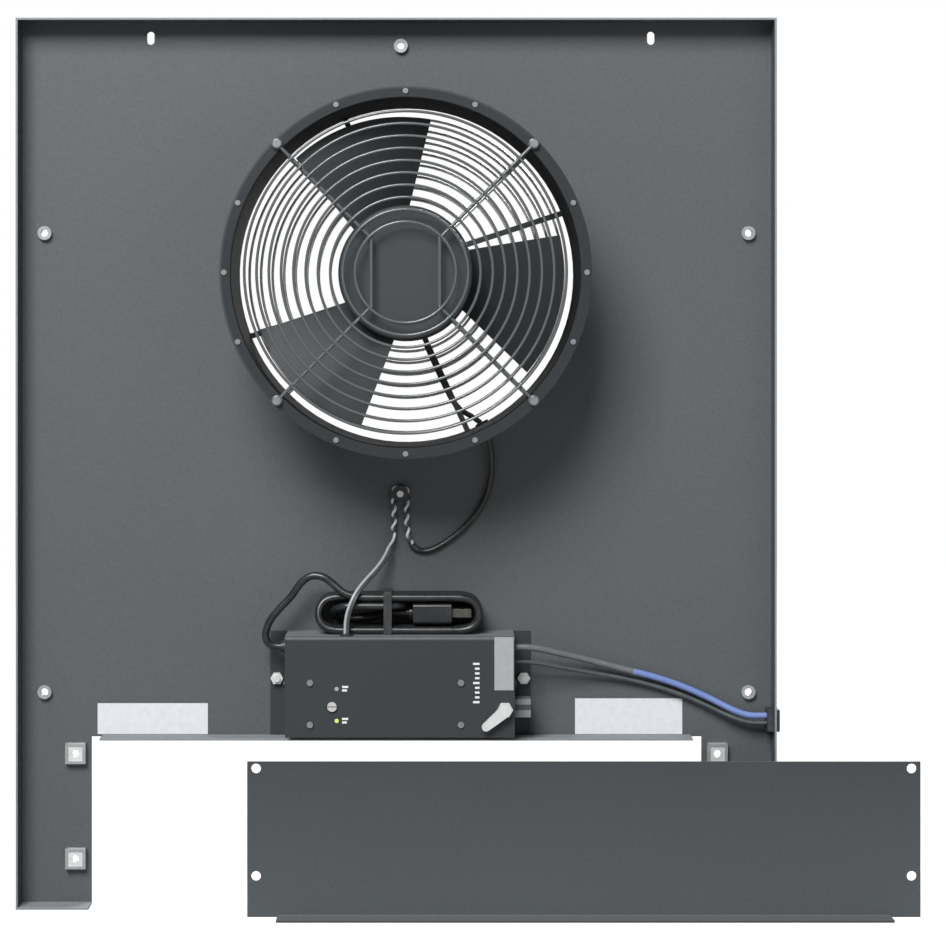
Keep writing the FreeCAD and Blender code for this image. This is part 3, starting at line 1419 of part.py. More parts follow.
def sensor_cords():
    """The sensor cable and its thin companion, from the controller to the flange coupler."""
    y = value("gland_y")
    flat = value("coupler_y")
    start = value("box_right") + value("bushing_flange") + value("press_gap")
    end = value("coupler_inner")
    z = value("cable_exit_z")
    meet = Vector(171, flat + 3.5, -150.8)
    along = Vector(13.4, 0.8, -3.4)
    cord("sensor_sleeve", [
        Vector(start, y, z), Vector(95, y, z), Vector(105, y + 1.4, z - 1.6),
        Vector(117, y + 4.2, -136.6), Vector(130, y + 7.8, -139.9), Vector(144, y + 11.4, -143.7),
        meet - along, meet,
    ], "cable_radius")
    above = value("coupler_z") + 2.6
    cord("sensor_cable", [
        meet, meet + along, Vector(199, flat + 5, -158.8), Vector(214, flat + 5, -164.6),
        Vector(228, flat + 4.2, -171), Vector(241, flat + 1.4, -177.6),
        Vector(253.5, flat, above), Vector(end, flat, above),
    ], "cable_radius")
    below = value("coupler_z") - 2.6
    z = value("wire_exit_z")
    cord("sensor_wire", [
        Vector(start, y, z), Vector(95, y, z), Vector(105, y + 2, z - 1.4),
        Vector(118, y + 6, -147), Vector(133, y + 10.6, -150), Vector(148, y + 14, -153),
        Vector(163, y + 15, -155.8), Vector(178, y + 15.6, -159.2), Vector(194, y + 15.8, -163.6),
        Vector(210, y + 15.4, -169.2), Vector(226, y + 14.2, -176.2), Vector(240.5, flat + 1.4, -183),
        Vector(254, flat, below), Vector(end, flat, below),
    ], "wire_radius")

    hole = "coupler_size"
    body = box("CouplerBody", ("wall_half - coupler_collar_thick", "half_width + coupler_lip_thick"),
               middle("coupler_y", hole), middle("coupler_z", hole))
    collar = box("CouplerCollar", ("coupler_inner", "wall_half"), middle("coupler_y", "coupler_collar"),
                 middle("coupler_z", "coupler_collar"))
    lip = box("CouplerLip", ("half_width", "half_width + coupler_lip_thick"),
              middle("coupler_y", "coupler_collar"), middle("coupler_z", "coupler_collar"))
    room = box("CouplerRoom", ("coupler_inner + 2", "half_width + coupler_lip_thick"),
               middle("coupler_y", "coupler_size - 4"), middle("coupler_z", "coupler_size - 4"))
    node("cable_coupler", cut("CableCoupler", fuse("CouplerBlank", body, collar, lip), room))


def power_cord():
    """The supply cord: gland, first loop, tied hank on the box and moulded plug."""
    y = value("gland_y")
    z = value("gland_z")
    start = value("gland_end")
    cord("power_cord", [
        Vector(start, y, z), Vector(start - 8, y, z), Vector(start - 11.5, y, z + 7.4),
        Vector(-90.5, y - 0.6, -113), Vector(-83.2, y - 1.2, -103.2), Vector(-75.2, y - 1.4, -95.4),
        Vector(-69.6, y - 2, -86.2), Vector(-61.6, y - 3, -79.6), Vector(-51.8, y - 4.2, -80.6),
        Vector(-45, y - 5, -86.4), Vector(-45, y - 5, value("hank_top")),
    ], "cord_radius")

    flange = rod("GlandFlange", "-X", ("box_left", "gland_y", "gland_z"), "gland_radius",
                 "bushing_flange")
    neck = rod("GlandNeck", "-X", ("box_left + box_wall + bushing_flange", "gland_y", "gland_z"),
               "gland_radius - bushing_wall", "box_wall + bushing_flange + gland_reach")
    node("power_gland", fuse("PowerGland", flange, neck))

    depth = ("hank_front", "hank_back")
    loaf = box("HankLoaf", ("hank_left", "hank_right"), depth, ("hank_bottom", "hank_top"))
    window = box("HankWindow", ("hank_core_right", "window_right"), depth,
                 ("hank_bottom + hank_strand", "hank_top - hank_strand"))
    node("power_cord_hank", round_ends(cut("HankLoop", loaf, window)))

    gap = "fit_gap"
    band = box("TieBand", middle("tie_x", "tie_width"),
               (f"hank_front - {gap} - tie_thick", f"hank_back + {gap} + tie_thick"),
               ("box_top", f"hank_top + {gap} + tie_thick"))
    room = box("TieRoom", middle("tie_x", "2 * tie_width"), (f"hank_front - {gap}", f"hank_back + {gap}"),
               ("box_top", f"hank_top + {gap}"))
    node("cord_tie", cut("CordTie", band, room))

    block = box("PlugBlock", ("plug_left", "plug_right"), middle("hank_y", "plug_depth"),
                middle("hank_z", "plug_height"))
    rounded = doc.addObject("Part::Fillet", "PlugRounded")
    rounded.Base = block
    doc.recompute()
    rounded.Edges = [(i, 3, 3) for i, edge in enumerate(block.Shape.Edges, 1) if edge.BoundBox.XLength > 1]
    relief = rod("PlugRelief", "+X", ("hank_core_right", "hank_y", "hank_z"), "plug_relief_radius",
                 "plug_relief_length")
    node("plug_body", fuse("PlugBody", rounded, relief))
    blades = []
    for way in "-+":
        at = f"hank_y {way} plug_blade_spacing / 2"
        blades.append(box("PlugBlade", ("plug_right", "plug_right + plug_blade_length"),
                          middle(at, "plug_blade_thick"), middle("hank_z", "plug_blade_width")))
    node("plug_blades", group("PlugBlades", *blades))


def round_ends(loop):
    """Rounds the hank's four outer ends, and its window where the strands turn back."""
    rounded = doc.addObject("Part::Fillet", "PowerCordHank")
    rounded.Base = loop
    doc.recompute()
    outer = (value("hank_left"), value("hank_right"))
    chosen = []
    for index, edge in enumerate(loop.Shape.Edges, 1):
        centre = edge.BoundBox.Center
        if edge.BoundBox.YLength < 1:
            continue
        if min(abs(centre.x - x) for x in outer) < 0.01:
            radius = value("hank_end_radius")
            chosen.append((index, radius, radius))
        elif abs(centre.x - value("window_right")) < 0.01:
            chosen.append((index, value("hank_strand"), value("hank_strand")))
    rounded.Edges = chosen
    return rounded


# ---------------------------------------------------------------- labels and cover

def labels():
    """Two labels on the panel and one on the controller's lid."""
    stickers = []
    for side in ("left", "right"):
        drop = f"-{side}_label_drop"
        stickers.append(box("PanelLabel", middle(f"{side}_label_x", f"{side}_label_width"),
                            ("label_front", "inner_face"), (f"{drop} - {side}_label_height", drop)))
    stickers.append(box("BoxLabel", middle("box_label_x", "box_label_width"),
                        ("lid_front - label_thick", "lid_front"),
                        ("box_top - fit_gap - box_label_height", "box_top - fit_gap")))
    node("rating_labels", group("RatingLabels", *stickers))


def cover_panel():
    """The loose blanking cover, standing on its bottom flange in front of the right leg."""
    plate = box("CoverPlate", ("cover_left", "cover_right"), ("cover_front", "cover_back"),
                ("cover_bottom", "cover_top"))
    flange = box("CoverFlange", middle("cover_x", "cover_flange_width"),
                 ("cover_back - cover_flange_depth", "cover_back"),
                 ("cover_bottom", "cover_bottom + sheet_thick"))
    bent = doc.addObject("Part::Fillet", "CoverBent")
    bent.Base = fuse("CoverBlank", plate, flange)
    doc.recompute()
    floor = value("cover_bottom")
    back = value("cover_back")
    bent.Edges = [(i, value("sheet_thick") * 0.9, value("sheet_thick") * 0.9)
                  for i, edge in enumerate(bent.Base.Shape.Edges, 1)
                  if edge.BoundBox.XLength > 10 and abs(edge.BoundBox.Center.z - floor) < 0.01
                  and abs(edge.BoundBox.Center.y - back) < 0.01]
    holes = []
    for x in ("cover_hole_left", "cover_hole_right"):
        for z in ("cover_hole_upper", "cover_hole_lower"):
            holes.append(rod("CoverHole", "-Y", (x, "cover_back", z), "cover_hole_radius",
                             "sheet_thick"))
    node("cover_panel", drilled("CoverPanel", bent, holes))


def check():
    """Stops on any failed object, or any sub-part that isn't made of valid solids."""
    doc.recompute()
    for piece in doc.Objects:
        if "Invalid" in piece.State or "Error" in piece.State:
            raise RuntimeError(f"{piece.Name} failed: {piece.State}")
    for label, piece in nodes.items():
        shape = piece.Shape
        if shape.isNull() or not shape.isValid() or not shape.Solids:
            raise RuntimeError(f"{label} is null or invalid")
        if any(solid.Volume <= 0 for solid in shape.Solids):
            raise RuntimeError(f"{label} has a solid that is inside out")


def main():
    tray_panel()
    panel_hardware()
    fan_housing()
    guards()
    fan_fasteners()
    motor_spider()
    motor()
    rotor()
    controller_base()
    controller_lid()
    circuit_board()
    trimmer()
    selector()
    controller_inside()
    side_socket()
    fan_lead()
    cord_bushings()
    sensor_cords()
    power_cord()
    labels()
    cover_panel()
    check()
    os.makedirs("parts", exist_ok=True)
    for label, piece in nodes.items():
        piece.Shape.exportStep(os.path.join("parts", label + ".step"))
    print(len(nodes), "nodes")


main()
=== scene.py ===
"""Looks of a rack fan tray: finishes, the wound supply cord, the twisted fan lead and a studio."""

import math

import bpy
from bpy.props import FloatProperty, FloatVectorProperty, IntProperty, PointerProperty
from mathutils import Matrix, Vector


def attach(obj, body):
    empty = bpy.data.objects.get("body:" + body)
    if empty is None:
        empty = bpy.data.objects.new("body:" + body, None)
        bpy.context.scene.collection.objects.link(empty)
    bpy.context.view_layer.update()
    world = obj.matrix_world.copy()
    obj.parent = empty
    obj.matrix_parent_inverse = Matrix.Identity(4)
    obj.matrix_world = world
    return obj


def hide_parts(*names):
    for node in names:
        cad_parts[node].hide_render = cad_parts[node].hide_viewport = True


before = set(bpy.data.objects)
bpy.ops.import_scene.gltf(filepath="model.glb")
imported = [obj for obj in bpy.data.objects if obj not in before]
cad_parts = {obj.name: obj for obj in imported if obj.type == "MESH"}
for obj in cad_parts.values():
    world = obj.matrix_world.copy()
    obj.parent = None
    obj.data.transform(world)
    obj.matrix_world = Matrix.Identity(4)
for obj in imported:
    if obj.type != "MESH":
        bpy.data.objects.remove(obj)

bl_info = {
    "name": "Rack Fan Tray Looks",
    "version": (1, 0, 0),
    "blender": (4, 2, 0),
    "location": "View3D > Sidebar > Fan Tray",
    "description": "Builds finishes, cord and studio round the fan tray's frame",
    "category": "Object",
}

MM = 0.001

# The fan's axis, in millimetres.
FAN_X = 7.2
FAN_Z = 135.9


# ---------------------------------------------------------------- settings


class TraySheetSettings(bpy.types.PropertyGroup):
    panel_colour: FloatVectorProperty(
        name="Panel colour", description="Powder coat of the tray", subtype="COLOR",
        size=3, min=0, max=1, default=(0.080, 0.089, 0.094))
    cover_colour: FloatVectorProperty(
        name="Cover colour", description="Powder coat of the loose cover panel", subtype="COLOR",
        size=3, min=0, max=1, default=(0.046, 0.052, 0.056))
    box_colour: FloatVectorProperty(
        name="Box colour", description="Powder coat of the controller's box", subtype="COLOR",
        size=3, min=0, max=1, default=(0.030, 0.0345, 0.038))
    edge_round: FloatProperty(
        name="Edge rounding", description="Radius that the coat gives to sheet edges",
        subtype="DISTANCE", unit="LENGTH", default=0.00028, min=0.00005, max=0.002)
    grain: FloatProperty(
        name="Coat grain", description="How strongly the powder coat's texture shows",
        default=1.0, min=0.0, max=3.0)


class TrayCordSettings(bpy.types.PropertyGroup):
    diameter: FloatProperty(
        name="Supply cord diameter", description="Outside diameter of the supply cord's sheath",
        subtype="DISTANCE", unit="LENGTH", default=0.0055, min=0.003, max=0.009)
    layers: IntProperty(
        name="Loops", description="Full loops in the tied hank's outer layer", default=5, min=2,
        max=5)


class TrayStudioSettings(bpy.types.PropertyGroup):
    key_power: FloatProperty(
        name="Key light", description="Power of the light in front, above and to the left",
        unit="POWER", default=176.0, min=0)
    fill_power: FloatProperty(
        name="Fill light", description="Power of the light in front and to the right",
        unit="POWER", default=4.0, min=0)
    rear_power: FloatProperty(
        name="Rear light", description="Power of the light behind the panel", unit="POWER",
        default=60.0, min=0)
    ambient: FloatProperty(
        name="Ambient", description="Strength of the light from all round", default=0.13, min=0)
    distance: FloatProperty(
        name="Camera distance", description="From the camera to the panel", subtype="DISTANCE",
        unit="LENGTH", default=1.94, min=0.5)
    focal: FloatProperty(
        name="Focal length", description="Focal length of the camera in millimetres",
        default=101.6, min=20)


# ---------------------------------------------------------------- shader building

# The light grey of dust, which also serves as painted light on upward faces.
DUST_AND_TOP_LIGHT_COLOUR = (0.30, 0.31, 0.32)
BLOOM_COLOUR = (0.5, 0.5, 0.5)

# Noise scales, per metre.
MOTTLE_SCALE = 9.0
LINT_SCALE = 420.0
CLOUD_SCALE = 240.0
SPOT_SCALE = 1300.0
HANDLING_SCALE = 130.0


def group_tree(name, inputs, outputs):
    """A shader node group with its sockets, and its input and output nodes."""
    tree = bpy.data.node_groups.new(name, "ShaderNodeTree")
    for kind, label, start in inputs:
        socket = tree.interface.new_socket(name=label, in_out="INPUT", socket_type=kind)
        socket.default_value = start
    for kind, label in outputs:
        tree.interface.new_socket(name=label, in_out="OUTPUT", socket_type=kind)
    return tree, tree.nodes.new("NodeGroupInput"), tree.nodes.new("NodeGroupOutput")


def object_coordinates(tree):
    """The socket of the shaded point's place on the object."""
    return tree.nodes.new("ShaderNodeTexCoord").outputs["Object"]


def parts_of(tree, vector):
    """The X, Y and Z sockets of a vector."""
    split = tree.nodes.new("ShaderNodeSeparateXYZ")
    tree.links.new(vector, split.inputs[0])
    return split.outputs


def place_of(tree):
    """The X, Y and Z sockets of the shaded point's place."""
    return parts_of(tree, object_coordinates(tree))


def noise(tree, vector, scale, detail=2.0, rough=0.5):
    """A noise texture; scale is a number or a socket."""
    node = tree.nodes.new("ShaderNodeTexNoise")
    node.inputs["Detail"].default_value = detail
    node.inputs["Roughness"].default_value = rough
    tree.links.new(vector, node.inputs["Vector"])
    if hasattr(scale, "links"):
        tree.links.new(scale, node.inputs["Scale"])
    else:
        node.inputs["Scale"].default_value = scale
    return node.outputs["Fac"]


def maths(tree, kind, a, b=0.5, clamp=False):
    """A math node; each operand is a number or a socket."""
    node = tree.nodes.new("ShaderNodeMath")
    node.operation = kind
    node.use_clamp = clamp
    for slot, operand in zip(node.inputs, (a, b)):
        if hasattr(operand, "links"):
            tree.links.new(operand, slot)
        else:
            slot.default_value = operand
    return node.outputs[0]


def swing(tree, value, amount):
    """How far value is from a half, times amount."""
    return maths(tree, "MULTIPLY", maths(tree, "SUBTRACT", value, 0.5), amount)


def remap(tree, value, low, high, to_low=0.0, to_high=1.0):
    """value from the range low to high, moved to the range to_low to to_high and held inside it."""
    node = tree.nodes.new("ShaderNodeMapRange")
    tree.links.new(value, node.inputs["Value"])
    ends = {"From Min": low, "From Max": high, "To Min": to_low, "To Max": to_high}
    for name, number in ends.items():
        node.inputs[name].default_value = number
    return node.outputs["Result"]


def tint(tree, colour, factor):
    """colour times factor."""
    node = tree.nodes.new("ShaderNodeVectorMath")
    node.operation = "SCALE"
    tree.links.new(colour, node.inputs[0])
    tree.links.new(factor, node.inputs["Scale"])
    return node.outputs[0]


def blend_colour(tree, factor, a, b):
    """Colour a where factor is 0 and b where it is 1; each is a colour or a socket."""
    node = tree.nodes.new("ShaderNodeMix")
    node.data_type = "RGBA"
    tree.links.new(factor, node.inputs["Factor"])
    for slot, colour in ((node.inputs[6], a), (node.inputs[7], b)):
        if hasattr(colour, "links"):
            tree.links.new(colour, slot)
        else:
            slot.default_value = (*colour, 1)
    return node.outputs[2]


def coat_group():
    """Powder coat or paint: orange peel, speckle, slow mottling, and a light grey on upward faces
    that is partly dust and partly painted light from above.
    """
    if "coat_grain" in bpy.data.node_groups:
        return bpy.data.node_groups["coat_grain"]
    tree, given, out = group_tree(
        "coat_grain",
        [("NodeSocketColor", "Base", (0.2, 0.2, 0.2, 1)),
         ("NodeSocketFloat", "Grain Scale", 700.0), ("NodeSocketFloat", "Speckle", 0.12),
         ("NodeSocketFloat", "Mottle", 0.06), ("NodeSocketFloat", "Roughness", 0.5),
         ("NodeSocketFloat", "Dust", 0.15)],
        [("NodeSocketColor", "Color"), ("NodeSocketFloat", "Roughness"),
         ("NodeSocketFloat", "Height")])
    where = object_coordinates(tree)
    fine = noise(tree, where, given.outputs["Grain Scale"], detail=3.0, rough=0.6)
    peel_scale = maths(tree, "MULTIPLY", given.outputs["Grain Scale"], 0.37)
    peel = noise(tree, where, peel_scale, detail=1.0)
    slow = noise(tree, where, MOTTLE_SCALE, detail=3.0)
    speckle = swing(tree, fine, given.outputs["Speckle"])
    mottle = swing(tree, slow, given.outputs["Mottle"])
    factor = maths(tree, "ADD", maths(tree, "ADD", speckle, mottle), 1.0)
    painted = tint(tree, given.outputs["Base"], factor)
    normal = tree.nodes.new("ShaderNodeNewGeometry").outputs["Normal"]
    upward = remap(tree, parts_of(tree, normal)["Z"], low=0.35, high=1.0)
    lint = remap(tree, noise(tree, where, LINT_SCALE, detail=3.0, rough=0.6),
                 low=0.3, high=0.7, to_low=0.72, to_high=1.0)
    # Upward faces blend towards the light grey: dust, and also painted light as if lit from above.
    dust_and_top_light = maths(tree, "MULTIPLY", maths(tree, "MULTIPLY", upward, lint), given.outputs["Dust"])
    tree.links.new(blend_colour(tree, dust_and_top_light, painted, DUST_AND_TOP_LIGHT_COLOUR), out.inputs["Color"])
    rough = maths(tree, "ADD", given.outputs["Roughness"], swing(tree, slow, 0.14))
    dusty = maths(tree, "ADD", rough, maths(tree, "MULTIPLY", dust_and_top_light, 0.3), clamp=True)
    tree.links.new(dusty, out.inputs["Roughness"])
    height = maths(tree, "ADD", fine, maths(tree, "MULTIPLY", peel, 1.6))
    tree.links.new(height, out.inputs["Height"])
    return tree


def metal_group():
    """Plated or ground metal: drawn streaks one way, cloudy plating and small spots."""
    if "metal_surface" in bpy.data.node_groups:
        return bpy.data.node_groups["metal_surface"]
    tree, given, out = group_tree(
        "metal_surface",
        [("NodeSocketColor", "Base", (0.7, 0.7, 0.7, 1)), ("NodeSocketFloat", "Roughness", 0.3),
         ("NodeSocketFloat", "Cloud", 0.2), ("NodeSocketVector", "Streak", (900.0, 900.0, 60.0))],
        [("NodeSocketColor", "Color"), ("NodeSocketFloat", "Roughness"),
         ("NodeSocketFloat", "Height")])
    where = object_coordinates(tree)
    stretch = tree.nodes.new("ShaderNodeVectorMath")
    stretch.operation = "MULTIPLY"
    tree.links.new(where, stretch.inputs[0])
    tree.links.new(given.outputs["Streak"], stretch.inputs[1])
    streak = noise(tree, stretch.outputs[0], scale=1.0)
    cloud = noise(tree, where, CLOUD_SCALE, detail=3.0)
    spots = remap(tree, noise(tree, where, SPOT_SCALE, detail=1.0), low=0.66, high=0.74)
    clouded = maths(tree, "ADD", swing(tree, cloud, given.outputs["Cloud"]), 1.0)
    factor = maths(tree, "SUBTRACT", clouded, maths(tree, "MULTIPLY", spots, 0.15))
    tree.links.new(tint(tree, given.outputs["Base"], factor), out.inputs["Color"])
    rough = maths(tree, "ADD", given.outputs["Roughness"], swing(tree, cloud, 0.25))
    drawn = maths(tree, "ADD", rough, maths(tree, "MULTIPLY", streak, 0.06), clamp=True)
    tree.links.new(drawn, out.inputs["Roughness"])
    height = maths(tree, "ADD", streak, maths(tree, "MULTIPLY", cloud, 0.4))
    tree.links.new(height, out.inputs["Height"])
    return tree


def moulded_group():
    """Moulded plastic or rubber: spark-eroded texture, handling marks and bloom."""
    if "moulded_surface" in bpy.data.node_groups:
        return bpy.data.node_groups["moulded_surface"]
    tree, given, out = group_tree(
        "moulded_surface",
        [("NodeSocketColor", "Base", (0.1, 0.1, 0.1, 1)), ("NodeSocketFloat", "Roughness", 0.45),
         ("NodeSocketFloat", "Bloom", 0.15), ("NodeSocketFloat", "Texture Scale", 1500.0)],
        [("NodeSocketColor", "Color"), ("NodeSocketFloat", "Roughness"),
         ("NodeSocketFloat", "Height")])
    where = object_coordinates(tree)
    fine = noise(tree, where, given.outputs["Texture Scale"])
    marks = noise(tree, where, HANDLING_SCALE, detail=4.0, rough=0.65)
    handled = remap(tree, marks, low=0.45, high=0.75)
    bloom = maths(tree, "MULTIPLY", handled, given.outputs["Bloom"])
    lifted = blend_colour(tree, bloom, given.outputs["Base"], BLOOM_COLOUR)
    shade = maths(tree, "ADD", swing(tree, fine, 0.2), 1.0)
    tree.links.new(tint(tree, lifted, shade), out.inputs["Color"])
    rough = maths(tree, "ADD", given.outputs["Roughness"], swing(tree, marks, 0.3), clamp=True)
    tree.links.new(rough, out.inputs["Roughness"])
    tree.links.new(fine, out.inputs["Height"])
    return tree


def material(name, group, values, depth, metallic=0.0, clear=0.0, specular=0.5):
    """A material whose colour, roughness and bump come from a shared group."""
    mat = bpy.data.materials.new(name)
    mat.use_nodes = True
    tree = mat.node_tree
    shader = tree.nodes["Principled BSDF"]
    surface = tree.nodes.new("ShaderNodeGroup")
    surface.node_tree = group
    for key, value in values.items():
        surface.inputs[key].default_value = value
    bump = tree.nodes.new("ShaderNodeBump")
    bump.inputs["Strength"].default_value = 1.0
    bump.inputs["Distance"].default_value = depth
    tree.links.new(surface.outputs["Color"], shader.inputs["Base Color"])
    tree.links.new(surface.outputs["Roughness"], shader.inputs["Roughness"])
    tree.links.new(surface.outputs["Height"], bump.inputs["Height"])
    tree.links.new(bump.outputs["Normal"], shader.inputs["Normal"])
    shader.inputs["Metallic"].default_value = metallic
    shader.inputs["Coat Weight"].default_value = clear
    shader.inputs["Specular IOR Level"].default_value = specular
    return mat


def coat(name, base, rough, grain, speckle, mottle, depth, dust_and_top_light, clear=0.0, specular=0.5):
    """Powder coat or paint, with an optional clear gloss."""
    values = {"Base": (*base, 1), "Grain Scale": grain, "Speckle": speckle, "Mottle": mottle,
              "Roughness": rough, "Dust": dust_and_top_light}
    return material(name, coat_group(), values, depth, clear=clear, specular=specular)


def metal(name, base, rough, cloud, streak=(900.0, 900.0, 60.0), depth=0.000006, metallic=1.0):
    """Plated, ground, drawn or cast metal."""
    values = {"Base": (*base, 1), "Roughness": rough, "Cloud": cloud, "Streak": streak}
    return material(name, metal_group(), values, depth, metallic)


def moulded(name, base, rough, bloom, scale, depth=0.00001, clear=0.0):
    """Moulded plastic, rubber or film."""
    values = {"Base": (*base, 1), "Roughness": rough, "Bloom": bloom, "Texture Scale": scale}
    return material(name, moulded_group(), values, depth, clear=clear)


# ---------------------------------------------------------------- shades

# Where a shade begins and where it is whole, in millimetres. Radii are from the fan's axis.
THROAT_SHADE_RADIUS = (122.2, 121.4)
RIM_HIGHLIGHT_RADIUS = (127.2, 128.8)
LIT_RIM_SIDE = (-20.0, 100.0)
STRAND_SHADE_Z = (-52.0, -60.0)
LIT_EDGE_Y = (-21.3, -21.8)
COVER_LIGHT_Z = (-210.0, -320.0)
COVER_PLATE_Y = (-47.5, -45.5)
SLOT_SHADE_HALF_HEIGHT = (2.2, 1.8)
SLOT_SHADE_X = (83.8, 84.3)
BOX_LABEL_Y = (-30.0, -40.0)
UPPER_LENS_Z = (-171.0, -169.0)

# The middle of the side socket's painted slot shade, in millimetres.
SLOT_SHADE_Z = -173.8

THROAT_DULLNESS = 0.55
UPPER_LENS_COLOUR = (0.34, 0.36, 0.34)
LOWER_LENS_COLOUR = (0.62, 0.72, 0.16)


def ramp(tree, value, ends):
    """A mask that is 0 at the first of two places in millimetres and 1 at the second."""
    return remap(tree, value, ends[0] * MM, ends[1] * MM)


def feed_shade(mat, mask, factor):
    """Multiplies the material's colour by factor where mask is 1."""
    tree = mat.node_tree
    colour = tree.nodes["Principled BSDF"].inputs["Base Color"]
    share = remap(tree, mask, 0.0, 1.0, 1.0, factor)
    tree.links.new(tint(tree, colour.links[0].from_socket, share), colour)
    return mat


def throat_shade(mat):
    """The throat's inner wall is made rougher and painted near black, a painted shade where it lies
    in shadow; the flanges' rims are painted lighter on their upper left, a painted highlight.
    """
    tree = mat.node_tree
    place = place_of(tree)
    across = maths(tree, "SUBTRACT", place["X"], FAN_X * MM)
    up = maths(tree, "SUBTRACT", place["Z"], FAN_Z * MM)
    squares = [maths(tree, "MULTIPLY", side, side) for side in (across, up)]
    radius = maths(tree, "SQRT", maths(tree, "ADD", *squares))
    shaded_wall = ramp(tree, radius, THROAT_SHADE_RADIUS)
    rough = tree.nodes["Principled BSDF"].inputs["Roughness"]
    dull = maths(tree, "MULTIPLY", shaded_wall, THROAT_DULLNESS)
    tree.links.new(maths(tree, "ADD", rough.links[0].from_socket, dull, clamp=True), rough)
    # Painted shade: the inner wall's colour is cut to near black.
    feed_shade(mat, shaded_wall, factor=0.12)
    # Painted highlight: the rims' upper left is made lighter, where they face the light.
    upper_left = ramp(tree, maths(tree, "SUBTRACT", up, across), LIT_RIM_SIDE)
    dust_and_top_light = maths(tree, "MULTIPLY", ramp(tree, radius, RIM_HIGHLIGHT_RADIUS), upper_left)
    return feed_shade(mat, dust_and_top_light, factor=2.4)


def strand_shade(mat):
    """The pale strand is painted darker where it runs alone below the twist: a painted shade."""
    tree = mat.node_tree
    return feed_shade(mat, ramp(tree, place_of(tree)["Z"], STRAND_SHADE_Z), factor=0.5)


def edge_shade(mat):
    """The flanges' front edges are painted lighter: a painted highlight where they catch the light.
    """
    tree = mat.node_tree
    return feed_shade(mat, ramp(tree, place_of(tree)["Y"], LIT_EDGE_Y), factor=2.6)


def cover_shade(mat):
    """The loose cover's plate, but not its flange, is painted paler towards its lower edge: painted
    light from the bright floor below.
    """
    tree = mat.node_tree
    place = place_of(tree)
    low = ramp(tree, place["Z"], COVER_LIGHT_Z)
    lit_lower = maths(tree, "MULTIPLY", low, ramp(tree, place["Y"], COVER_PLATE_Y))
    return feed_shade(mat, lit_lower, factor=1.75)


def socket_shade(mat):
    """The side socket's shell has a dark band painted round its middle: painted shade of a slot
    that isn't modelled.
    """
    tree = mat.node_tree
    place = place_of(tree)
    height = maths(tree, "ABSOLUTE", maths(tree, "SUBTRACT", place["Z"], SLOT_SHADE_Z * MM))
    middle = ramp(tree, height, SLOT_SHADE_HALF_HEIGHT)
    slot_shade = maths(tree, "MULTIPLY", middle, ramp(tree, place["X"], SLOT_SHADE_X))
    return feed_shade(mat, slot_shade, factor=0.25)


def label_shade(mat):
    """The box's label is painted darker than the two on the panel."""
    tree = mat.node_tree
    return feed_shade(mat, ramp(tree, place_of(tree)["Y"], BOX_LABEL_Y), factor=0.52)


def lens_shade(mat):
    """Two lamp lenses: the upper clear grey, the lower yellow-green."""
    tree = mat.node_tree
    upper = ramp(tree, place_of(tree)["Z"], UPPER_LENS_Z)
    tree.links.new(blend_colour(tree, upper, LOWER_LENS_COLOUR, UPPER_LENS_COLOUR),
                   tree.nodes["Principled BSDF"].inputs["Base Color"])
    return mat


# ---------------------------------------------------------------- finishes


def coats(settings):
    """Powder coats and paints."""
    strength = settings.grain
    sheet = {"rough": 0.55, "grain": 520.0, "speckle": 0.42 * strength, "mottle": 0.05,
             "depth": 0.00006 * strength, "specular": 0.4}
    return {
        # The panel's high dust share is mostly painted light: its upward flanges and lip are made
        # lighter.
        "panel_grey": edge_shade(
            coat("panel_powder_coat", settings.panel_colour, dust_and_top_light=0.85, **sheet)),
        "cover_grey": cover_shade(
            coat("cover_powder_coat", settings.cover_colour, dust_and_top_light=0.35, **sheet)),
        # The box's high dust share is mostly painted light: its top face is made lighter.
        "box_grey": coat(
            "box_powder_coat", settings.box_colour, rough=0.46, grain=800.0,
            speckle=0.14 * strength, mottle=0.05, depth=0.00003 * strength, dust_and_top_light=0.6,
            specular=0.4),
        "housing_black": throat_shade(coat(
            "housing_paint", (0.0265, 0.030, 0.033), rough=0.42, grain=420.0, speckle=0.10,
            mottle=0.10, depth=0.00003, dust_and_top_light=0.04, specular=0.25)),
        "guard_wire": coat(
            "guard_wire_coat", (0.092, 0.102, 0.107), rough=0.20, grain=900.0, speckle=0.10,
            mottle=0.06, depth=0.000005, dust_and_top_light=0.08, clear=0.5),
        "blade_metal": coat(
            "blade_paint", (0.026, 0.030, 0.033), rough=0.55, grain=600.0, speckle=0.10,
            mottle=0.10, depth=0.00002, dust_and_top_light=0.05, specular=0.4),
        "motor_dark": coat(
            "motor_paint", (0.036, 0.041, 0.044), rough=0.48, grain=700.0, speckle=0.12,
            mottle=0.08, depth=0.00003, dust_and_top_light=0.1, specular=0.4),
    }


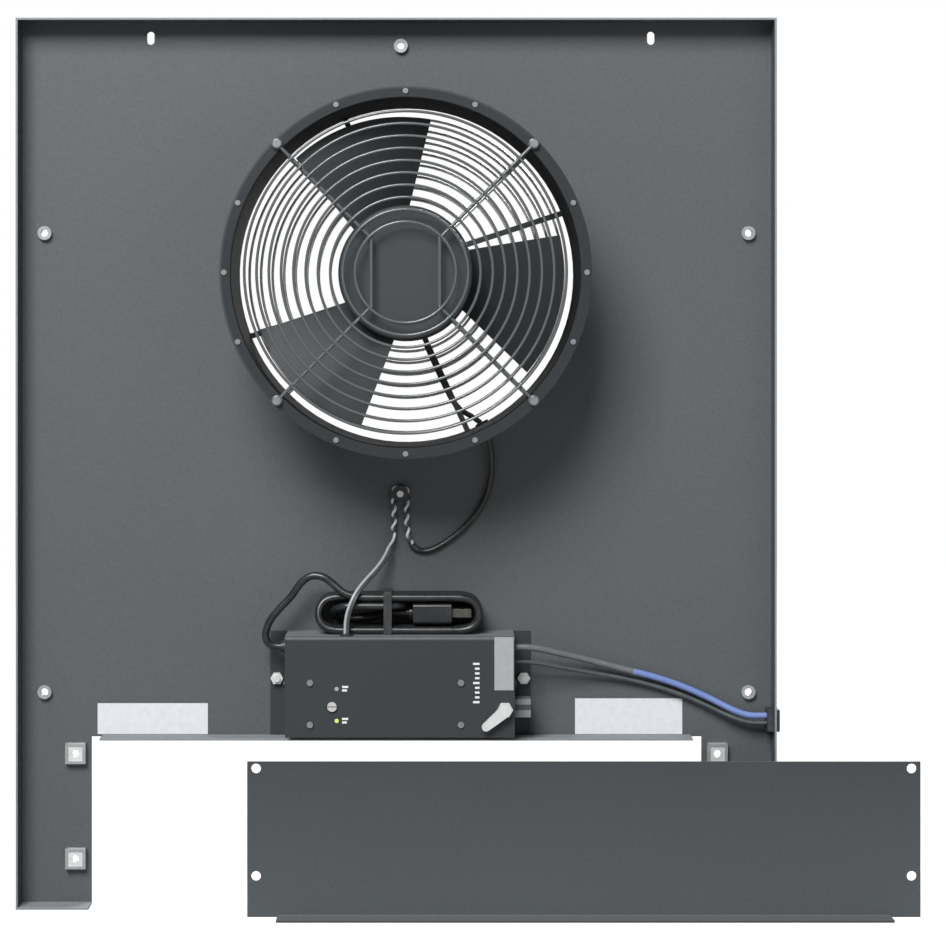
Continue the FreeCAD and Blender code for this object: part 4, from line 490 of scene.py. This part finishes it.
def metals():
    """Plated, ground and cast metals."""
    return {
        "dull_zinc": metal(
            "dull_zinc_plate", (0.24, 0.25, 0.26), rough=0.42, cloud=0.3, metallic=0.5),
        "satin_zinc": metal(
            "satin_zinc_plate", (0.40, 0.41, 0.42), rough=0.36, cloud=0.3, metallic=0.5),
        "zinc_steel": metal(
            "zinc_plate", (0.78, 0.79, 0.79), rough=0.32, cloud=0.25, metallic=0.45),
        "machined_steel": metal(
            "ground_steel", (0.62, 0.63, 0.64), rough=0.24, cloud=0.12,
            streak=(200.0, 1500.0, 200.0)),
        "core_steel": metal(
            "lamination_steel", (0.40, 0.40, 0.41), rough=0.45, cloud=0.3,
            streak=(80.0, 2200.0, 80.0), depth=0.00003),
        "copper": metal(
            "enamelled_copper", (0.72, 0.33, 0.16), rough=0.32, cloud=0.25,
            streak=(60.0, 1800.0, 1800.0), depth=0.00006),
        "cast_alloy": metal(
            "cast_alloy", (0.52, 0.53, 0.54), rough=0.48, cloud=0.3,
            streak=(500.0, 500.0, 500.0), depth=0.00004),
        # The plug's blades are painted dark grey, a painted shade for where they lie inside the
        # hank.
        "brass_blades": metal(
            "plated_brass", (0.15, 0.145, 0.13), rough=0.40, cloud=0.15,
            streak=(60.0, 900.0, 900.0)),
    }


def mouldings():
    """Plastics, sheaths, films and inks."""
    return {
        "black_rubber": moulded(
            "black_pvc", (0.013, 0.0145, 0.016), rough=0.34, bloom=0.03, scale=1100.0,
            depth=0.000004, clear=0.12),
        "black_nylon": moulded(
            "black_nylon", (0.028, 0.029, 0.031), rough=0.42, bloom=0.06, scale=1300.0,
            depth=0.00002),
        "grey_cord": moulded(
            "grey_pvc", (0.125, 0.135, 0.14), rough=0.36, bloom=0.06, scale=900.0),
        "pale_strand": strand_shade(moulded(
            "pale_pvc", (0.74, 0.77, 0.80), rough=0.34, bloom=0.05, scale=900.0)),
        "dark_strand": moulded(
            "dark_pvc", (0.050, 0.054, 0.058), rough=0.36, bloom=0.05, scale=900.0),
        "blue_cord": moulded(
            "blue_pvc", (0.155, 0.225, 0.50), rough=0.36, bloom=0.05, scale=900.0),
        "olive_cord": moulded(
            "olive_pvc", (0.065, 0.075, 0.078), rough=0.40, bloom=0.05, scale=900.0),
        "board_green": moulded(
            "board_resist", (0.03, 0.12, 0.06), rough=0.28, bloom=0.05, scale=700.0,
            depth=0.00002, clear=0.3),
        "grey_plastic": socket_shade(moulded(
            "grey_plastic", (0.17, 0.18, 0.19), rough=0.45, bloom=0.08, scale=1300.0,
            depth=0.00002)),
        "lens": lens_shade(moulded(
            "lens_clear", (0.5, 0.52, 0.5), rough=0.12, bloom=0.05, scale=900.0,
            depth=0.000002, clear=0.6)),
        "label_white": label_shade(moulded(
            "label_film", (0.64, 0.66, 0.69), rough=0.42, bloom=0.03, scale=300.0,
            depth=0.000004)),
        "ink_white": moulded(
            "legend_ink", (0.70, 0.71, 0.72), rough=0.5, bloom=0.05, scale=900.0,
            depth=0.000004),
        "knob_plastic": moulded(
            "knob_plastic", (0.48, 0.48, 0.46), rough=0.40, bloom=0.08, scale=1200.0),
        "blue_can": moulded(
            "can_sleeve", (0.02, 0.03, 0.10), rough=0.25, bloom=0.05, scale=800.0, clear=0.3),
    }


def finishes(settings):
    """Every slot's material, and the other finishes that a slot's pieces may have."""
    return {**coats(settings), **metals(), **mouldings()}


# The frame's pieces that each finish is painted on.
PAINTED = {
    "panel_grey": ["tray_panel"],
    "cover_grey": ["cover_panel"],
    "box_grey": ["controller_base", "controller_lid"],
    "housing_black": ["fan_housing", "lid_screws"],
    "guard_wire": ["front_guard"],
    "blade_metal": ["fan_blades"],
    "motor_dark": ["motor_spider", "rotor_cup", "hub_cap"],
    "zinc_steel": ["outer_guard", "cage_nuts", "motor_screws", "ear_studs", "ear_nuts",
                   "selector_nut", "selector_lever", "lead_post_screw"],
    "satin_zinc": ["side_clinch_nuts", "nut_cages"],
    "dull_zinc": ["flange_rivets", "fan_mount_screws", "guard_screws", "fan_nuts",
                  "board_screws"],
    "machined_steel": ["bearing_outer_races", "bearing_inner_races", "bearing_balls",
                       "motor_shaft", "board_spacers"],
    "core_steel": ["stator_core", "transformer_core"],
    "copper": ["stator_windings", "transformer_coil"],
    "cast_alloy": ["motor_base", "rotor_cage"],
    "black_rubber": ["cord_bushings", "plug_body", "power_cord", "power_cord_hank"],
    "black_nylon": ["trimmer_body", "selector_switch", "lead_post", "power_gland", "cord_tie",
                    "cable_coupler"],
    "grey_cord": ["fan_lead", "sensor_sleeve"],
    "blue_cord": ["sensor_cable"],
    "olive_cord": ["sensor_wire"],
    "board_green": ["circuit_board"],
    "grey_plastic": ["relay", "terminal_block", "side_socket"],
    "lens": ["led_lenses"],
    "label_white": ["rating_labels"],
    "knob_plastic": ["trimmer_knob"],
    "blue_can": ["capacitors"],
    "brass_blades": ["plug_blades"],
}


# ---------------------------------------------------------------- mesh helpers

# Points nearer than this, in metres, are merged before edges are rounded.
MERGE_DISTANCE = 0.000002

# Angles in degrees: faces that meet at less become one flat face, or are shaded smooth.
FLAT_ANGLE = 0.6
SMOOTH_ANGLE = 30

# The name of each finish's material, filled in by the finishes operator.
MATERIAL_OF = {}


def only(obj):
    """Leaves obj alone selected and active."""
    if bpy.context.mode != "OBJECT":
        bpy.ops.object.mode_set(mode="OBJECT")
    bpy.ops.object.select_all(action="DESELECT")
    obj.select_set(True)
    bpy.context.view_layer.objects.active = obj


def dress(obj, finish):
    """Gives obj one finish, alone."""
    obj.data.materials.clear()
    obj.data.materials.append(bpy.data.materials[MATERIAL_OF[finish]])


def paint(obj, slot, finish=None):
    """Gives a new piece the slot's finish, or another finish of the same kind."""
    dress(obj, finish or slot)


def softened(node, slot, body, width, angle=35, finish=None, shape=None):
    """A merged copy of a CAD node with its edges rounded, shown in the node's place."""
    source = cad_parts[node]
    copy = source.copy()
    copy.data = source.data.copy()
    copy.name = f"{node}_finished"
    copy.parent = None
    copy.matrix_world = Matrix.Identity(4)
    bpy.context.scene.collection.objects.link(copy)
    only(copy)
    bpy.ops.object.mode_set(mode="EDIT")
    bpy.ops.mesh.select_all(action="SELECT")
    bpy.ops.mesh.remove_doubles(threshold=MERGE_DISTANCE)
    bpy.ops.mesh.dissolve_limited(angle_limit=math.radians(FLAT_ANGLE))
    bpy.ops.object.mode_set(mode="OBJECT")
    if shape:
        shape(copy)
    bevel = copy.modifiers.new("EdgeRound", "BEVEL")
    bevel.width = width
    bevel.segments = 2
    bevel.limit_method = "ANGLE"
    bevel.angle_limit = math.radians(angle)
    bevel.use_clamp_overlap = True
    bevel.harden_normals = False
    bpy.ops.object.modifier_apply(modifier=bevel.name)
    bpy.ops.object.shade_smooth_by_angle(angle=math.radians(SMOOTH_ANGLE))
    flat = copy.modifiers.new("FlatFaces", "WEIGHTED_NORMAL")
    flat.mode = "FACE_AREA"
    flat.weight = 100
    flat.keep_sharp = True
    bpy.ops.object.modifier_apply(modifier=flat.name)
    paint(copy, slot, finish)
    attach(copy, body)
    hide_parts(node)


def joined(objects, name):
    """Several pieces made into one object."""
    only(objects[0])
    for other in objects[1:]:
        other.select_set(True)
    bpy.ops.object.join()
    whole = bpy.context.view_layer.objects.active
    whole.name = name
    return whole


def plate(x, y, z, round_by=0.0):
    """A block between pairs of millimetres, its edges rounded, its place in its mesh."""
    bpy.ops.mesh.primitive_cube_add(size=1, location=(0, 0, 0))
    obj = bpy.context.view_layer.objects.active
    size = Vector((x[1] - x[0], y[1] - y[0], z[1] - z[0])) * MM
    centre = Vector((x[0] + x[1], y[0] + y[1], z[0] + z[1])) * MM / 2
    obj.data.transform(Matrix.Translation(centre) @ Matrix.Diagonal((*size, 1)))
    if round_by:
        bpy.ops.object.mode_set(mode="EDIT")
        bpy.ops.mesh.select_all(action="SELECT")
        bpy.ops.mesh.bevel(offset=round_by * MM, segments=2, affect="EDGES")
        bpy.ops.object.mode_set(mode="OBJECT")
    return obj


def round_curve(name, kind, places, radius):
    """A round tube, its radius in metres, on a spline of a kind with its points in millimetres."""
    curve = bpy.data.curves.new(name, "CURVE")
    curve.dimensions = "3D"
    spline = curve.splines.new(kind)
    spline.points.add(len(places) - 1)
    for point, place in zip(spline.points, places):
        point.co = (*(value * MM for value in place), 1)
    spline.use_smooth = True
    curve.bevel_depth = radius
    curve.bevel_resolution = 3
    curve.use_fill_caps = True
    obj = bpy.data.objects.new(name, curve)
    bpy.context.scene.collection.objects.link(obj)
    return obj


# ---------------------------------------------------------------- finishes and rounded edges

# Node, slot, body, edge width in millimetres, and the least angle, in degrees, at an edge that is
# rounded.
FAN_EDGES = (
    ("fan_housing", "housing_black", "tray", 0.95, 40),
    ("motor_spider", "motor_dark", "tray", 0.4, 35),
    ("hub_cap", "motor_dark", "fan_rotor", 0.6, 35),
    ("rotor_cup", "motor_dark", "fan_rotor", 0.4, 40),
    ("fan_blades", "blade_metal", "fan_rotor", 0.25, 50),
)

# Node, slot, edge width in millimetres, and the finish where it isn't the slot's own.
SMALL_EDGES = (
    ("plug_body", "black_rubber", 1.2, None),
    ("cord_tie", "black_nylon", 0.3, None),
    ("side_socket", "grey_plastic", 0.3, None),
    ("cable_coupler", "black_nylon", 0.4, None),
    ("nut_cages", "zinc_steel", 0.12, "satin_zinc"),
    ("cage_nuts", "zinc_steel", 0.2, None),
    ("relay", "grey_plastic", 0.4, None),
    ("terminal_block", "grey_plastic", 0.3, None),
    ("plug_blades", "brass_blades", 0.3, None),
)

# The controller's lid, in millimetres: its ends, its front and top faces, the height and depth of
# the corner strip that is swapped, and the bend that the strip gets.
LID_X = (-78.8, 84.4)
LID_FRONT_Y = -44.5
LID_TOP_Z = -121.8
LID_CORNER = 2.8
LID_BEND = 2.6


class TRAY_OT_finishes(bpy.types.Operator):
    """Make every finish and paint the frame's pieces with them"""
    bl_idname = "tray.finishes"
    bl_label = "Make finishes"

    def execute(self, context):
        for finish, mat in finishes(context.scene.tray_sheet).items():
            MATERIAL_OF[finish] = mat.name
        for finish, nodes in PAINTED.items():
            for node in nodes:
                dress(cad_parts[node], finish)
        return {"FINISHED"}


def bend_lid_top(lid):
    """Swaps the lid's square top corner for a bend."""
    bottom_z = LID_TOP_Z - LID_CORNER
    only(lid)
    bpy.ops.object.mode_set(mode="EDIT")
    bpy.ops.mesh.select_all(action="SELECT")
    bpy.ops.mesh.bisect(plane_co=(0, 0, bottom_z * MM), plane_no=(0, 0, 1), use_fill=True,
                        clear_outer=True)
    bpy.ops.object.mode_set(mode="OBJECT")
    strip = plate(LID_X, (LID_FRONT_Y, LID_FRONT_Y + LID_CORNER), (bottom_z, LID_TOP_Z))
    bpy.ops.object.mode_set(mode="EDIT")
    bpy.ops.mesh.select_all(action="DESELECT")
    bpy.ops.object.mode_set(mode="OBJECT")
    near = 0.1  # how far a vertex may be from the corner, in millimetres
    for edge in strip.data.edges:
        ends = [strip.data.vertices[k].co / MM for k in edge.vertices]
        edge.select = all(end.y < LID_FRONT_Y + near and end.z > LID_TOP_Z - near for end in ends)
    bpy.ops.object.mode_set(mode="EDIT")
    bpy.ops.mesh.select_mode(type="EDGE")
    bpy.ops.mesh.bevel(offset=LID_BEND * MM, segments=6, affect="EDGES")
    bpy.ops.object.mode_set(mode="OBJECT")
    joined([lid, strip], lid.name)


class TRAY_OT_sheet_metal(bpy.types.Operator):
    """Round the coated edges of the tray, the cover and the controller's box"""
    bl_idname = "tray.sheet_metal"
    bl_label = "Finish sheet metal"

    def execute(self, context):
        width = context.scene.tray_sheet.edge_round
        softened("tray_panel", "panel_grey", "tray", width)
        softened("cover_panel", "panel_grey", "cover", width, finish="cover_grey")
        softened("controller_base", "box_grey", "tray", width)
        softened("controller_lid", "box_grey", "tray", width, shape=bend_lid_top)
        return {"FINISHED"}


class TRAY_OT_fan_metal(bpy.types.Operator):
    """Round the painted edges of the fan's housing, spider, blades and rotor"""
    bl_idname = "tray.fan_metal"
    bl_label = "Finish fan"

    def execute(self, context):
        for node, slot, body, width, angle in FAN_EDGES:
            softened(node, slot, body, width * MM, angle)
        return {"FINISHED"}


class TRAY_OT_small_parts(bpy.types.Operator):
    """Round the edges of the plug, tie, socket, cage nuts and moulded parts"""
    bl_idname = "tray.small_parts"
    bl_label = "Finish small parts"

    def execute(self, context):
        for node, slot, width, finish in SMALL_EDGES:
            softened(node, slot, "tray", width * MM, finish=finish)
        return {"FINISHED"}


# ---------------------------------------------------------------- supply cord

# The tied hank, in millimetres. Its outer loops turn at FOLD_LEFT and FOLD_RIGHT, in lanes at the
# heights UPPER and LOWER: the first lane at BACK_LANE_Y, each next one LANE_PITCH further forward.
# The free loop from the gland comes into the front upper lane at START. The crossed inner loop
# starts with a fold at ENTRY and turns at INNER_RIGHT and INNER_LEFT.
FOLD_LEFT = -43.5
FOLD_RIGHT = 47.5
UPPER = -95.4
LOWER = -118.9
BACK_LANE_Y = -5.75
LANE_PITCH = 6.0
START = -20
ENTRY = -37.5
INNER_LEFT = -32
INNER_RIGHT = -6
INNER_UPPER = -101.5
INNER_LOWER = -112.8
PLUG_LANE = (-17.75, -107.15)


def fold(start, way, first, last):
    """Control points of a half turn between lanes (Y, Z), to the right (1) or to the left (-1)."""
    radius = math.dist(first, last) / 2
    # Half the side of an octagon round a circle of radius 1; the turn follows its corners.
    corner = math.tan(math.radians(22.5))
    corners = ((corner, 0.0), (1.0, (1 - corner) / 2), (1.0, (1 + corner) / 2), (corner, 1.0))
    return [(start + way * radius * out, *(a + (b - a) * along for a, b in zip(first, last)))
            for out, along in corners]


def run(x_from, x_to, lane, count):
    """Evenly spaced control points along a straight lane of the hank."""
    return [(x_from + (x_to - x_from) * (k + 0.5) / count, *lane) for k in range(count)]


def supply_route(loops):
    """The cord's control points in millimetres: gland, free loop, outer loops, inner loop, plug."""
    depths = [BACK_LANE_Y - LANE_PITCH * k for k in range(loops)]
    upper = [(y, UPPER) for y in depths]
    lower = [(y, LOWER) for y in depths]
    back, front = depths[0], depths[-1]
    points = [
        (-82.8, -22, -131.2), (-89.8, -22, -131.6), (-94.8, -22, -124.5), (-91.5, -22.6, -113),
        (-83.2, -23.2, -103.2), (-75.2, -23.4, -95.4), (-69.6, -24, -86.2), (-61.6, -25, -79.6),
        (-51.8, -26.2, -80.6), (-45, -27, -86), (-37.5, front + 0.8, -92.6), (-28, front, UPPER),
    ]
    points += run(START, FOLD_RIGHT, upper[-1], 2)
    for k in range(loops - 1, -1, -1):
        points += fold(FOLD_RIGHT, 1, upper[k], lower[k])
        if k:
            points += run(FOLD_RIGHT, FOLD_LEFT, lower[k], 3)
            points += fold(FOLD_LEFT, -1, lower[k], upper[k - 1])
            points += run(FOLD_LEFT, FOLD_RIGHT, upper[k - 1], 3)
    points += run(FOLD_RIGHT, ENTRY, lower[0], 3)
    points += fold(ENTRY, -1, lower[0], (back, INNER_UPPER))
    points += run(ENTRY, INNER_RIGHT, (back, INNER_UPPER), 2)
    points += fold(INNER_RIGHT, 1, (back, INNER_UPPER), (front, INNER_UPPER))
    points += run(INNER_RIGHT, INNER_LEFT, (front, INNER_UPPER), 2)
    points += fold(INNER_LEFT, -1, (front, INNER_UPPER), (back, INNER_LOWER))
    points += [(-25, back, INNER_LOWER), (-14, back - 4, INNER_LOWER + 1.5), (-4, *PLUG_LANE),
               (3, *PLUG_LANE), (9, *PLUG_LANE)]
    return points


class TRAY_OT_supply_cord(bpy.types.Operator):
    """Wind the supply cord from its gland into the tied hank and back to its plug"""
    bl_idname = "tray.supply_cord"
    bl_label = "Wind supply cord"

    def execute(self, context):
        settings = context.scene.tray_cord
        points = supply_route(settings.layers)
        obj = round_curve("supply_cord", "NURBS", points, settings.diameter / 2)
        spline = obj.data.splines[0]
        spline.order_u = 3
        spline.use_endpoint_u = True
        obj.data.resolution_u = 10
        paint(obj, "black_rubber")
        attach(obj, "tray")
        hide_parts("power_cord", "power_cord_hank")
        return {"FINISHED"}


# ---------------------------------------------------------------- fan lead

# The fan lead, in millimetres.
SLEEVE_RADIUS = 2.15
COLLAR_RADIUS = 2.5
STRAND_RADIUS = 1.08
TWIST_PITCH = 9.5
PATH_STEP = 0.9

# The Y of the lead's middle where it lies flat on the panel.
LEAD_FLAT_Y = -3.75

# The sleeve and the twist each end where the lead is first left of this X and below this Z.
SLEEVE_END = (12.6, -50)
TWIST_END = (0, -51)

# Steps of the path from the sleeve's end: to both ends of the collar, and to the strands' start.
COLLAR_STEPS = (-5, 3)
STRAND_STEPS = -4

# The angle in radians, round the lead, at which the pale strand settles, and how many pitches the
# strands take to ease out of the twist.
SETTLED_TURN = 4.4
EASE_PITCHES = 1.5


def smooth_path(points, step):
    """Points along the smooth curve that has its joints halfway between the control points."""
    points = [Vector(p) for p in points]
    path = []
    for k in range(1, len(points) - 1):
        first = points[0] if k == 1 else (points[k - 1] + points[k]) / 2
        last = points[-1] if k == len(points) - 2 else (points[k] + points[k + 1]) / 2
        count = max(3, round((last - first).length / step))
        for j in range(count):
            t = j / count
            path.append(first * (1 - t) ** 2 + points[k] * 2 * t * (1 - t) + last * t * t)
    return path + [points[-1]]


def first_past(path, end):
    """The number of the first point that is left of and below an end (X, Z)."""
    return next(k for k, place in enumerate(path) if place.x < end[0] and place.z < end[1])


def twisted(path, offset, pitch, settled, phase):
    """One strand's path: it winds at a pitch for the settled length, then eases to a fixed side."""
    strand = []
    travelled = 0.0
    across = Vector((0, 1, 0))
    wound = 2 * math.pi * settled / pitch
    rest = (SETTLED_TURN - wound) % (2 * math.pi)
    for k, here in enumerate(path):
        ahead = (path[min(k + 1, len(path) - 1)] - path[max(k - 1, 0)]).normalized()
        across = (across - ahead * across.dot(ahead)).normalized()
        side = ahead.cross(across)
        if k:
            travelled += (here - path[k - 1]).length
        share = min(max((travelled - settled) / (EASE_PITCHES * pitch), 0.0), 1.0)
        eased = share * share * (3 - 2 * share)
        turn = 2 * math.pi * min(travelled, settled) / pitch + rest * eased + phase
        strand.append(here + (across * math.cos(turn) + side * math.sin(turn)) * offset)
    return strand


def tube(name, path, radius, slot, finish=None):
    """A round tube along a path in millimetres, fixed to the tray."""
    obj = round_curve(name, "POLY", path, radius * MM)
    paint(obj, slot, finish)
    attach(obj, "tray")
    return obj


def from_fan(radius, y, angle):
    """A point in millimetres at a radius and an angle round the fan's axis."""
    turn = math.radians(angle)
    return (FAN_X + radius * math.cos(turn), y, FAN_Z + radius * math.sin(turn))


def lead_route():
    """The fan lead's control points in millimetres: strut, bushing, loop, post, controller."""
    flat = LEAD_FLAT_Y
    return [
        from_fan(52, -10.2, -74.0), from_fan(86, -9.4, -70.9), from_fan(103, -8.8, -69.2),
        from_fan(114, -8.6, -64.6), from_fan(121, -8.6, -63), from_fan(131, -8.6, -63),
        (69, -8.0, 5.5), (69, flat - 2.6, -9.5), (65.6, flat - 1, -24), (58.5, flat - 0.6, -36.8),
        (48.5, flat - 0.3, -48), (36.8, flat, -57.4), (23.5, flat, -64.8), (13.2, flat, -63.2),
        (8.2, flat, -53.5), (7.2, flat, -38), (7.55, flat, -25.5), (7.55, flat, -17.7),
        (-2.15, flat, -17.7), (-2.15, flat, -27.5), (-1.4, flat - 0.2, -40), (-2.4, flat - 2, -54),
        (-6.6, flat - 7, -66.5), (-13.5, flat - 14.5, -76), (-21.5, -28.5, -83.5),
        (-28.5, -37, -92), (-33.3, -39.1, -103), (-35.3, -37.9, -112.5), (-35.3, -37.9, -120.3),
    ]


class TRAY_OT_fan_lead(bpy.types.Operator):
    """Twist the fan's two strands and slip the black sleeve over their upper part"""
    bl_idname = "tray.fan_lead"
    bl_label = "Twist fan lead"

    def execute(self, context):
        path = smooth_path(lead_route(), PATH_STEP)
        split = first_past(path, SLEEVE_END)
        collared = path[split + COLLAR_STEPS[0]: split + COLLAR_STEPS[1]]
        bare = path[split + STRAND_STEPS:]
        end = first_past(bare, TWIST_END)
        wound = sum((bare[k + 1] - bare[k]).length for k in range(end))
        pieces = [
            tube("lead_sleeve", path[: split + 1], SLEEVE_RADIUS, "grey_cord", "black_rubber"),
            tube("lead_sleeve_end", collared, COLLAR_RADIUS, "grey_cord", "black_nylon"),
        ]
        for shade, phase in (("pale", 0.0), ("dark", math.pi)):
            strand = twisted(bare, STRAND_RADIUS, TWIST_PITCH, wound, phase)
            pieces.append(tube(f"lead_strand_{shade}", strand, STRAND_RADIUS, "grey_cord",
                               f"{shade}_strand"))
        for piece in pieces:
            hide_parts("fan_lead")
        return {"FINISHED"}


# ---------------------------------------------------------------- lid marks

# The legend on the lid, in millimetres: bars from just inside the lid's front to just proud of it.
MARK_Y = (LID_FRONT_Y - 0.06, LID_FRONT_Y + 0.02)
MARK_HALF_HEIGHT = 0.75
MARK_ROUND = 0.03
SCALE_RIGHT = 59.4
SCALE_TOP = -141.0
SCALE_PITCH = 3.4
SCALE_TICKS = 9
LONG_TICK = 4.6
SHORT_TICK = 3.2
LEGEND_LEFT = -38.2
LAMP_Z = (-158.65, -181.35)

# The rise above a lamp's middle, and the width, of each bar beside it.
LAMP_BARS = ((1.25, 4.4), (-1.25, 3.4))


def mark(left, right, z):
    """One printed bar at a height."""
    return plate((left, right), MARK_Y, (z - MARK_HALF_HEIGHT, z + MARK_HALF_HEIGHT), MARK_ROUND)


class TRAY_OT_lid_marks(bpy.types.Operator):
    """Print the plain legend ticks on the controller's lid"""
    bl_idname = "tray.lid_marks"
    bl_label = "Print lid marks"

    def execute(self, context):
        marks = []
        for k in range(SCALE_TICKS):
            width = LONG_TICK if k % 4 == 0 else SHORT_TICK
            marks.append(mark(SCALE_RIGHT - width, SCALE_RIGHT, SCALE_TOP - SCALE_PITCH * k))
        for z in LAMP_Z:
            marks += [mark(LEGEND_LEFT, LEGEND_LEFT + width, z + rise) for rise, width in LAMP_BARS]
        whole = joined(marks, "lid_marks")
        paint(whole, "label_white", "ink_white")
        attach(whole, "tray")
        return {"FINISHED"}


# ---------------------------------------------------------------- studio

# Places and sizes in metres.
FLOOR_MIDDLE = (0.05, -0.6, -0.3206)
FLOOR_SIZE = (9, 7)
CAMERA_X = 0.022
CAMERA_Z = 0.091

# The camera's shifts to the right and up, as shares of the picture's width.
CAMERA_SHIFT = (0.0488, -0.1405)

# The picture's width and height.
PICTURE = (946, 940)

# How brightly the floor's paper shows to the camera by itself.
PAPER_GLOW = 0.9

# Name, place, aim, side of the square, and the setting that holds its power.
LIGHTS = (
    ("key_light", (-0.87, -2.64, 2.2), (0.05, 0.0, 0.1), 1.6, "key_power"),
    ("fill_light", (1.5, -1.9, 0.3), (0.1, 0.0, 0.0), 1.2, "fill_power"),
    ("rear_light", (0.9, 2.0, 1.3), (0.0, 0.0, 0.0), 1.2, "rear_power"),
)


def floor_material():
    """Grey paper that looks near-white and keeps a soft shadow, without lighting the tray."""
    mat = moulded("studio_paper", (0.35, 0.35, 0.35), rough=0.85, bloom=0.0, scale=60.0, depth=0.0)
    tree = mat.node_tree
    shader = tree.nodes["Principled BSDF"]
    ray = tree.nodes.new("ShaderNodeLightPath").outputs["Is Camera Ray"]
    tree.links.new(maths(tree, "MULTIPLY", ray, PAPER_GLOW), shader.inputs["Emission Strength"])
    shader.inputs["Emission Color"].default_value = (1, 1, 1, 1)
    return mat


def area_light(name, place, aim, side, power):
    """A square light that points at its aim."""
    bpy.ops.object.light_add(type="AREA", location=place)
    lamp = bpy.context.view_layer.objects.active
    lamp.name = name
    lamp.data.shape = "RECTANGLE"
    lamp.data.size = side
    lamp.data.size_y = side
    lamp.data.energy = power
    lamp.rotation_euler = (Vector(aim) - Vector(place)).to_track_quat("-Z", "Y").to_euler()


def surround(scene, ambient):
    """White where the camera sees it; a soft dome, brighter above, where it lights the object."""
    world = bpy.data.worlds.new("studio_surround")
    scene.world = world
    world.use_nodes = True
    tree = world.node_tree
    tree.nodes.clear()
    out = tree.nodes.new("ShaderNodeOutputWorld")
    seen = tree.nodes.new("ShaderNodeBackground")
    seen.inputs["Color"].default_value = (1, 1, 1, 1)
    seen.inputs["Strength"].default_value = 1.0
    dome = tree.nodes.new("ShaderNodeBackground")
    way = tree.nodes.new("ShaderNodeTexCoord").outputs["Generated"]
    tree.links.new(remap(tree, parts_of(tree, way)["Z"], low=-0.2, high=1.0, to_low=0.55),
                   dome.inputs["Color"])
    dome.inputs["Strength"].default_value = ambient
    mix = tree.nodes.new("ShaderNodeMixShader")
    path = tree.nodes.new("ShaderNodeLightPath")
    tree.links.new(path.outputs["Is Camera Ray"], mix.inputs[0])
    tree.links.new(dome.outputs[0], mix.inputs[1])
    tree.links.new(seen.outputs[0], mix.inputs[2])
    tree.links.new(mix.outputs[0], out.inputs["Surface"])


class TRAY_OT_studio(bpy.types.Operator):
    """Set up the pale floor, the white surround, the lights and the camera"""
    bl_idname = "tray.studio"
    bl_label = "Build studio"

    def execute(self, context):
        settings = context.scene.tray_studio
        bpy.ops.mesh.primitive_plane_add(size=1, location=(0, 0, 0))
        floor = bpy.context.view_layer.objects.active
        floor.name = "studio_floor"
        floor.data.transform(Matrix.Translation(FLOOR_MIDDLE)
                             @ Matrix.Diagonal((*FLOOR_SIZE, 1, 1)))
        floor.data.materials.append(floor_material())
        for name, place, aim, side, setting in LIGHTS:
            area_light(name, place, aim, side, getattr(settings, setting))
        surround(context.scene, settings.ambient)

        bpy.ops.object.camera_add(location=(CAMERA_X, -settings.distance, CAMERA_Z),
                                  rotation=(math.pi / 2, 0, 0))
        camera = bpy.context.view_layer.objects.active
        camera.name = "studio_camera"
        camera.data.lens = settings.focal
        camera.data.sensor_width = 36
        camera.data.shift_x, camera.data.shift_y = CAMERA_SHIFT
        camera.data.clip_end = 20
        context.scene.camera = camera
        context.scene.render.resolution_x, context.scene.render.resolution_y = PICTURE
        context.scene.view_settings.view_transform = "Standard"
        return {"FINISHED"}


# ---------------------------------------------------------------- panel and registration


class TRAY_PT_panel(bpy.types.Panel):
    """Fan tray controls in the 3D view's sidebar"""
    bl_idname = "TRAY_PT_panel"
    bl_label = "Fan Tray"
    bl_space_type = "VIEW_3D"
    bl_region_type = "UI"
    bl_category = "Fan Tray"

    def draw(self, context):
        for owner, names in SHOWN.items():
            box = self.layout.box()
            for name in names:
                box.prop(getattr(context.scene, owner), name)
        for operator in OPERATORS:
            self.layout.operator(operator.bl_idname)


OPERATORS = (TRAY_OT_finishes, TRAY_OT_sheet_metal, TRAY_OT_fan_metal, TRAY_OT_small_parts,
             TRAY_OT_supply_cord, TRAY_OT_fan_lead, TRAY_OT_lid_marks, TRAY_OT_studio)
SETTINGS = (("tray_sheet", TraySheetSettings), ("tray_cord", TrayCordSettings),
            ("tray_studio", TrayStudioSettings))

# The settings that the panel shows.
SHOWN = {
    "tray_sheet": ("panel_colour", "cover_colour", "box_colour", "edge_round", "grain"),
    "tray_cord": ("diameter", "layers"),
    "tray_studio": ("key_power", "fill_power", "rear_power", "ambient", "distance", "focal"),
}


def register():
    for name, kind in SETTINGS:
        bpy.utils.register_class(kind)
        setattr(bpy.types.Scene, name, PointerProperty(type=kind))
    for kind in OPERATORS:
        bpy.utils.register_class(kind)
    bpy.utils.register_class(TRAY_PT_panel)


def unregister():
    bpy.utils.unregister_class(TRAY_PT_panel)
    for kind in reversed(OPERATORS):
        bpy.utils.unregister_class(kind)
    for name, kind in reversed(SETTINGS):
        delattr(bpy.types.Scene, name)
        bpy.utils.unregister_class(kind)


def main():
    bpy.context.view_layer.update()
    register()
    bpy.ops.tray.finishes()
    bpy.ops.tray.sheet_metal()
    bpy.ops.tray.fan_metal()
    bpy.ops.tray.small_parts()
    bpy.ops.tray.supply_cord()
    bpy.ops.tray.fan_lead()
    bpy.ops.tray.lid_marks()
    bpy.ops.tray.studio()


if __name__ == "__main__":
    main()
